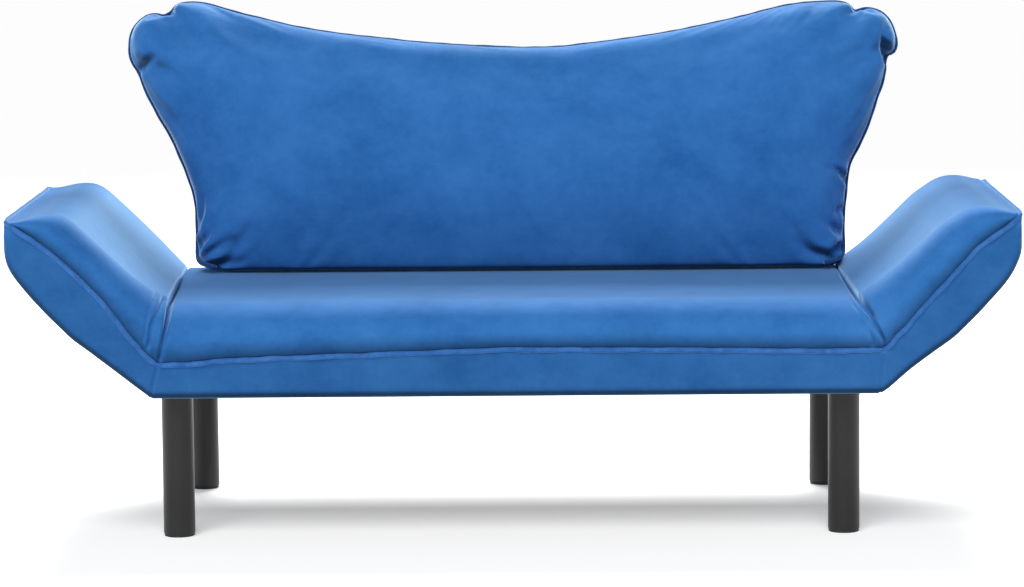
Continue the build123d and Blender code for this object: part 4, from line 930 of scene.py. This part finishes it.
def rear_seam_point(i):
    """Point on the rear side of an arm at the height of its front seam."""
    rows = slice(TOP_ROWS[1] + 4, width - HEM_ROWS - 3)
    heights = pad_heights[i, rows]
    target = pad_heights[i, SEAM_ROW]
    k = int(np.argmin(np.abs(heights - target)))
    return pads[i, rows][k] + np.array((0.0, 0.0015, 0.0))


def pad_seam_line(first, last):
    """The piping's run along the front, with its wander."""
    run = pads[first:last + 1, SEAM_ROW] + np.array((0.0, -0.0035, 0.0))
    places = run[:, 0] * 3
    run[:, 2] += ripple(places, 0.0006, 3)
    run[:, 1] += ripple(places, 0.0006, 8)
    return run[::3]


for side, name in ((LEFT, "left_pad_piping"), (RIGHT, "right_pad_piping")):
    tip_index = 0 if side == LEFT else len(pads) - 1
    ahead = 1 if side == LEFT else -1
    crease_index = len(arm_ts[LEFT]) - 1 if side == LEFT else len(pads) - len(arm_ts[RIGHT])
    front_run = pad_seam_line(0, split) if side == LEFT else pad_seam_line(split, tip_index)[::-1]
    rear_run = [rear_seam_point(i) for i in range(crease_index - ahead * 14, tip_index + ahead * 5,
                                                  -ahead * 4)]
    tip_front, tip_rear = front_run[0], pads[tip_index, int(np.argmax(pads[tip_index, :, 1]))]
    tip_out = np.array((side * 0.0015, 0.0, 0.0015))
    tip_run = [tip_front * (1 - s) + (tip_rear * s) + tip_out for s in np.linspace(0.05, 0.95, 24)]
    line = np.vstack([np.array(rear_run), np.array(tip_run)[::-1], front_run])
    piping = new_piping(name, line, PIPING_RADIUS, piping_velvet)
    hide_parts(*(("seat_piping", "left_arm_piping") if side == LEFT
                          else ("right_arm_piping",)))
    bend_with_arm(piping)

# ---- Piping of the back cushion ----
# The same cord, sewn between the two panels. It runs up one side, over the wings and down the
# other, and turns forward under the bottom corners.


def corner_tail(x, side):
    """The cord's end: down the side, then forward under a bottom corner of the cushion."""
    return [(x, 0.126, 0.040), (x - side * 0.003, 0.114, 0.050), (x - side * 0.010, 0.106, 0.063),
            (x - side * 0.021, 0.100, 0.078), (x - side * 0.034, 0.095, 0.090)]


def on_back(points):
    """Points given across, up and forward of the leaning back, in the room's directions."""
    points = np.array(points, float)
    return (np.array(BACK_PIVOT) + points[:, :1] * np.array((1.0, 0.0, 0.0))
            + points[:, 1:2] * BACK_UP + points[:, 2:3] * BACK_FORWARD)


seam_part = wing_line[(wing_line[:, 1] > 0.135)]
seam_points = np.column_stack([seam_part, np.full(len(seam_part), BACK_SEAM)])
seam_points[:, 2] += ripple(seam_part[:, 0] * 2 + seam_part[:, 1], 0.0015, 5)
left_tail = corner_tail(seam_part[0, 0], LEFT)
right_tail = corner_tail(seam_part[-1, 0], RIGHT)
back_seam_line = on_back(np.vstack([left_tail[::-1], seam_points[::3], right_tail]))
# Painted shade: the back piping's velvet is a darker copy of the pads' piping velvet, at about 0.3
# to 0.5 of its colour, for the shade along the cushion's edge.
back_piping_painted_shade_velvet = new_piping_velvet("back_piping_painted_shade_velvet", (0.006, 0.035, 0.130),
                                       (0.014, 0.062, 0.200))
back_piping = new_piping("back_cushion_piping", back_seam_line, PIPING_RADIUS,
                         back_piping_painted_shade_velvet)
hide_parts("back_piping")
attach(back_piping, "backrest")

# ---- Floor and light ----
# A plain pale studio floor, which shows the sofa bed's shadow. A large soft light hangs above
# and behind, and a broad one comes from in front.
floor_paint = new_material("floor_paint", (0.80, 0.80, 0.80), 0.75, specular=0.1)
floor_shader = floor_paint.node_tree.nodes["Principled BSDF"]
floor_shader.inputs["Emission Color"].default_value = (1.0, 1.0, 1.0, 1.0)
floor_shader.inputs["Emission Strength"].default_value = 0.33
value_by(floor_paint, noise(floor_paint, 3.0), 0.7, 0.8, "Roughness")
floor_mesh = bpy.data.meshes.new("floor")
floor_mesh.from_pydata([(-40, -40, 0), (40, -40, 0), (40, 40, 0), (-40, 40, 0)], [], [(0, 1, 2, 3)])
floor_mesh.materials.append(floor_paint)
floor = bpy.data.objects.new("floor", floor_mesh)
bpy.context.scene.collection.objects.link(floor)


def soft_light(name, place, aim, size, power):
    """A square soft box, aimed at a point."""
    data = bpy.data.lights.new(name, "AREA")
    data.shape = "RECTANGLE"
    data.size, data.size_y = size
    data.energy = power
    light = bpy.data.objects.new(name, data)
    bpy.context.scene.collection.objects.link(light)
    direction = Vector(aim) - Vector(place)
    light.visible_camera = False
    light.matrix_world = (Matrix.Translation(place)
                          @ direction.to_track_quat("-Z", "Y").to_matrix().to_4x4())


soft_light("rear_light", (0.0, 3.0, 3.4), (0.0, 0.0, 0.5), (3.0, 1.6), 340.0)
front_data = bpy.data.lights.new("front_light", "SUN")
front_data.energy = 2.5
front_data.angle = math.radians(40.0)
front_light = bpy.data.objects.new("front_light", front_data)
bpy.context.scene.collection.objects.link(front_light)
front_light.rotation_euler = (math.radians(42.0), 0.0, math.radians(-12.0))
world = bpy.data.worlds.new("studio")
bpy.context.scene.world = world
world.use_nodes = True
world.node_tree.nodes["Background"].inputs["Color"].default_value = (1.0, 1.0, 1.0, 1.0)
world.node_tree.nodes["Background"].inputs["Strength"].default_value = 0.25
bpy.context.scene.view_settings.view_transform = "Standard"
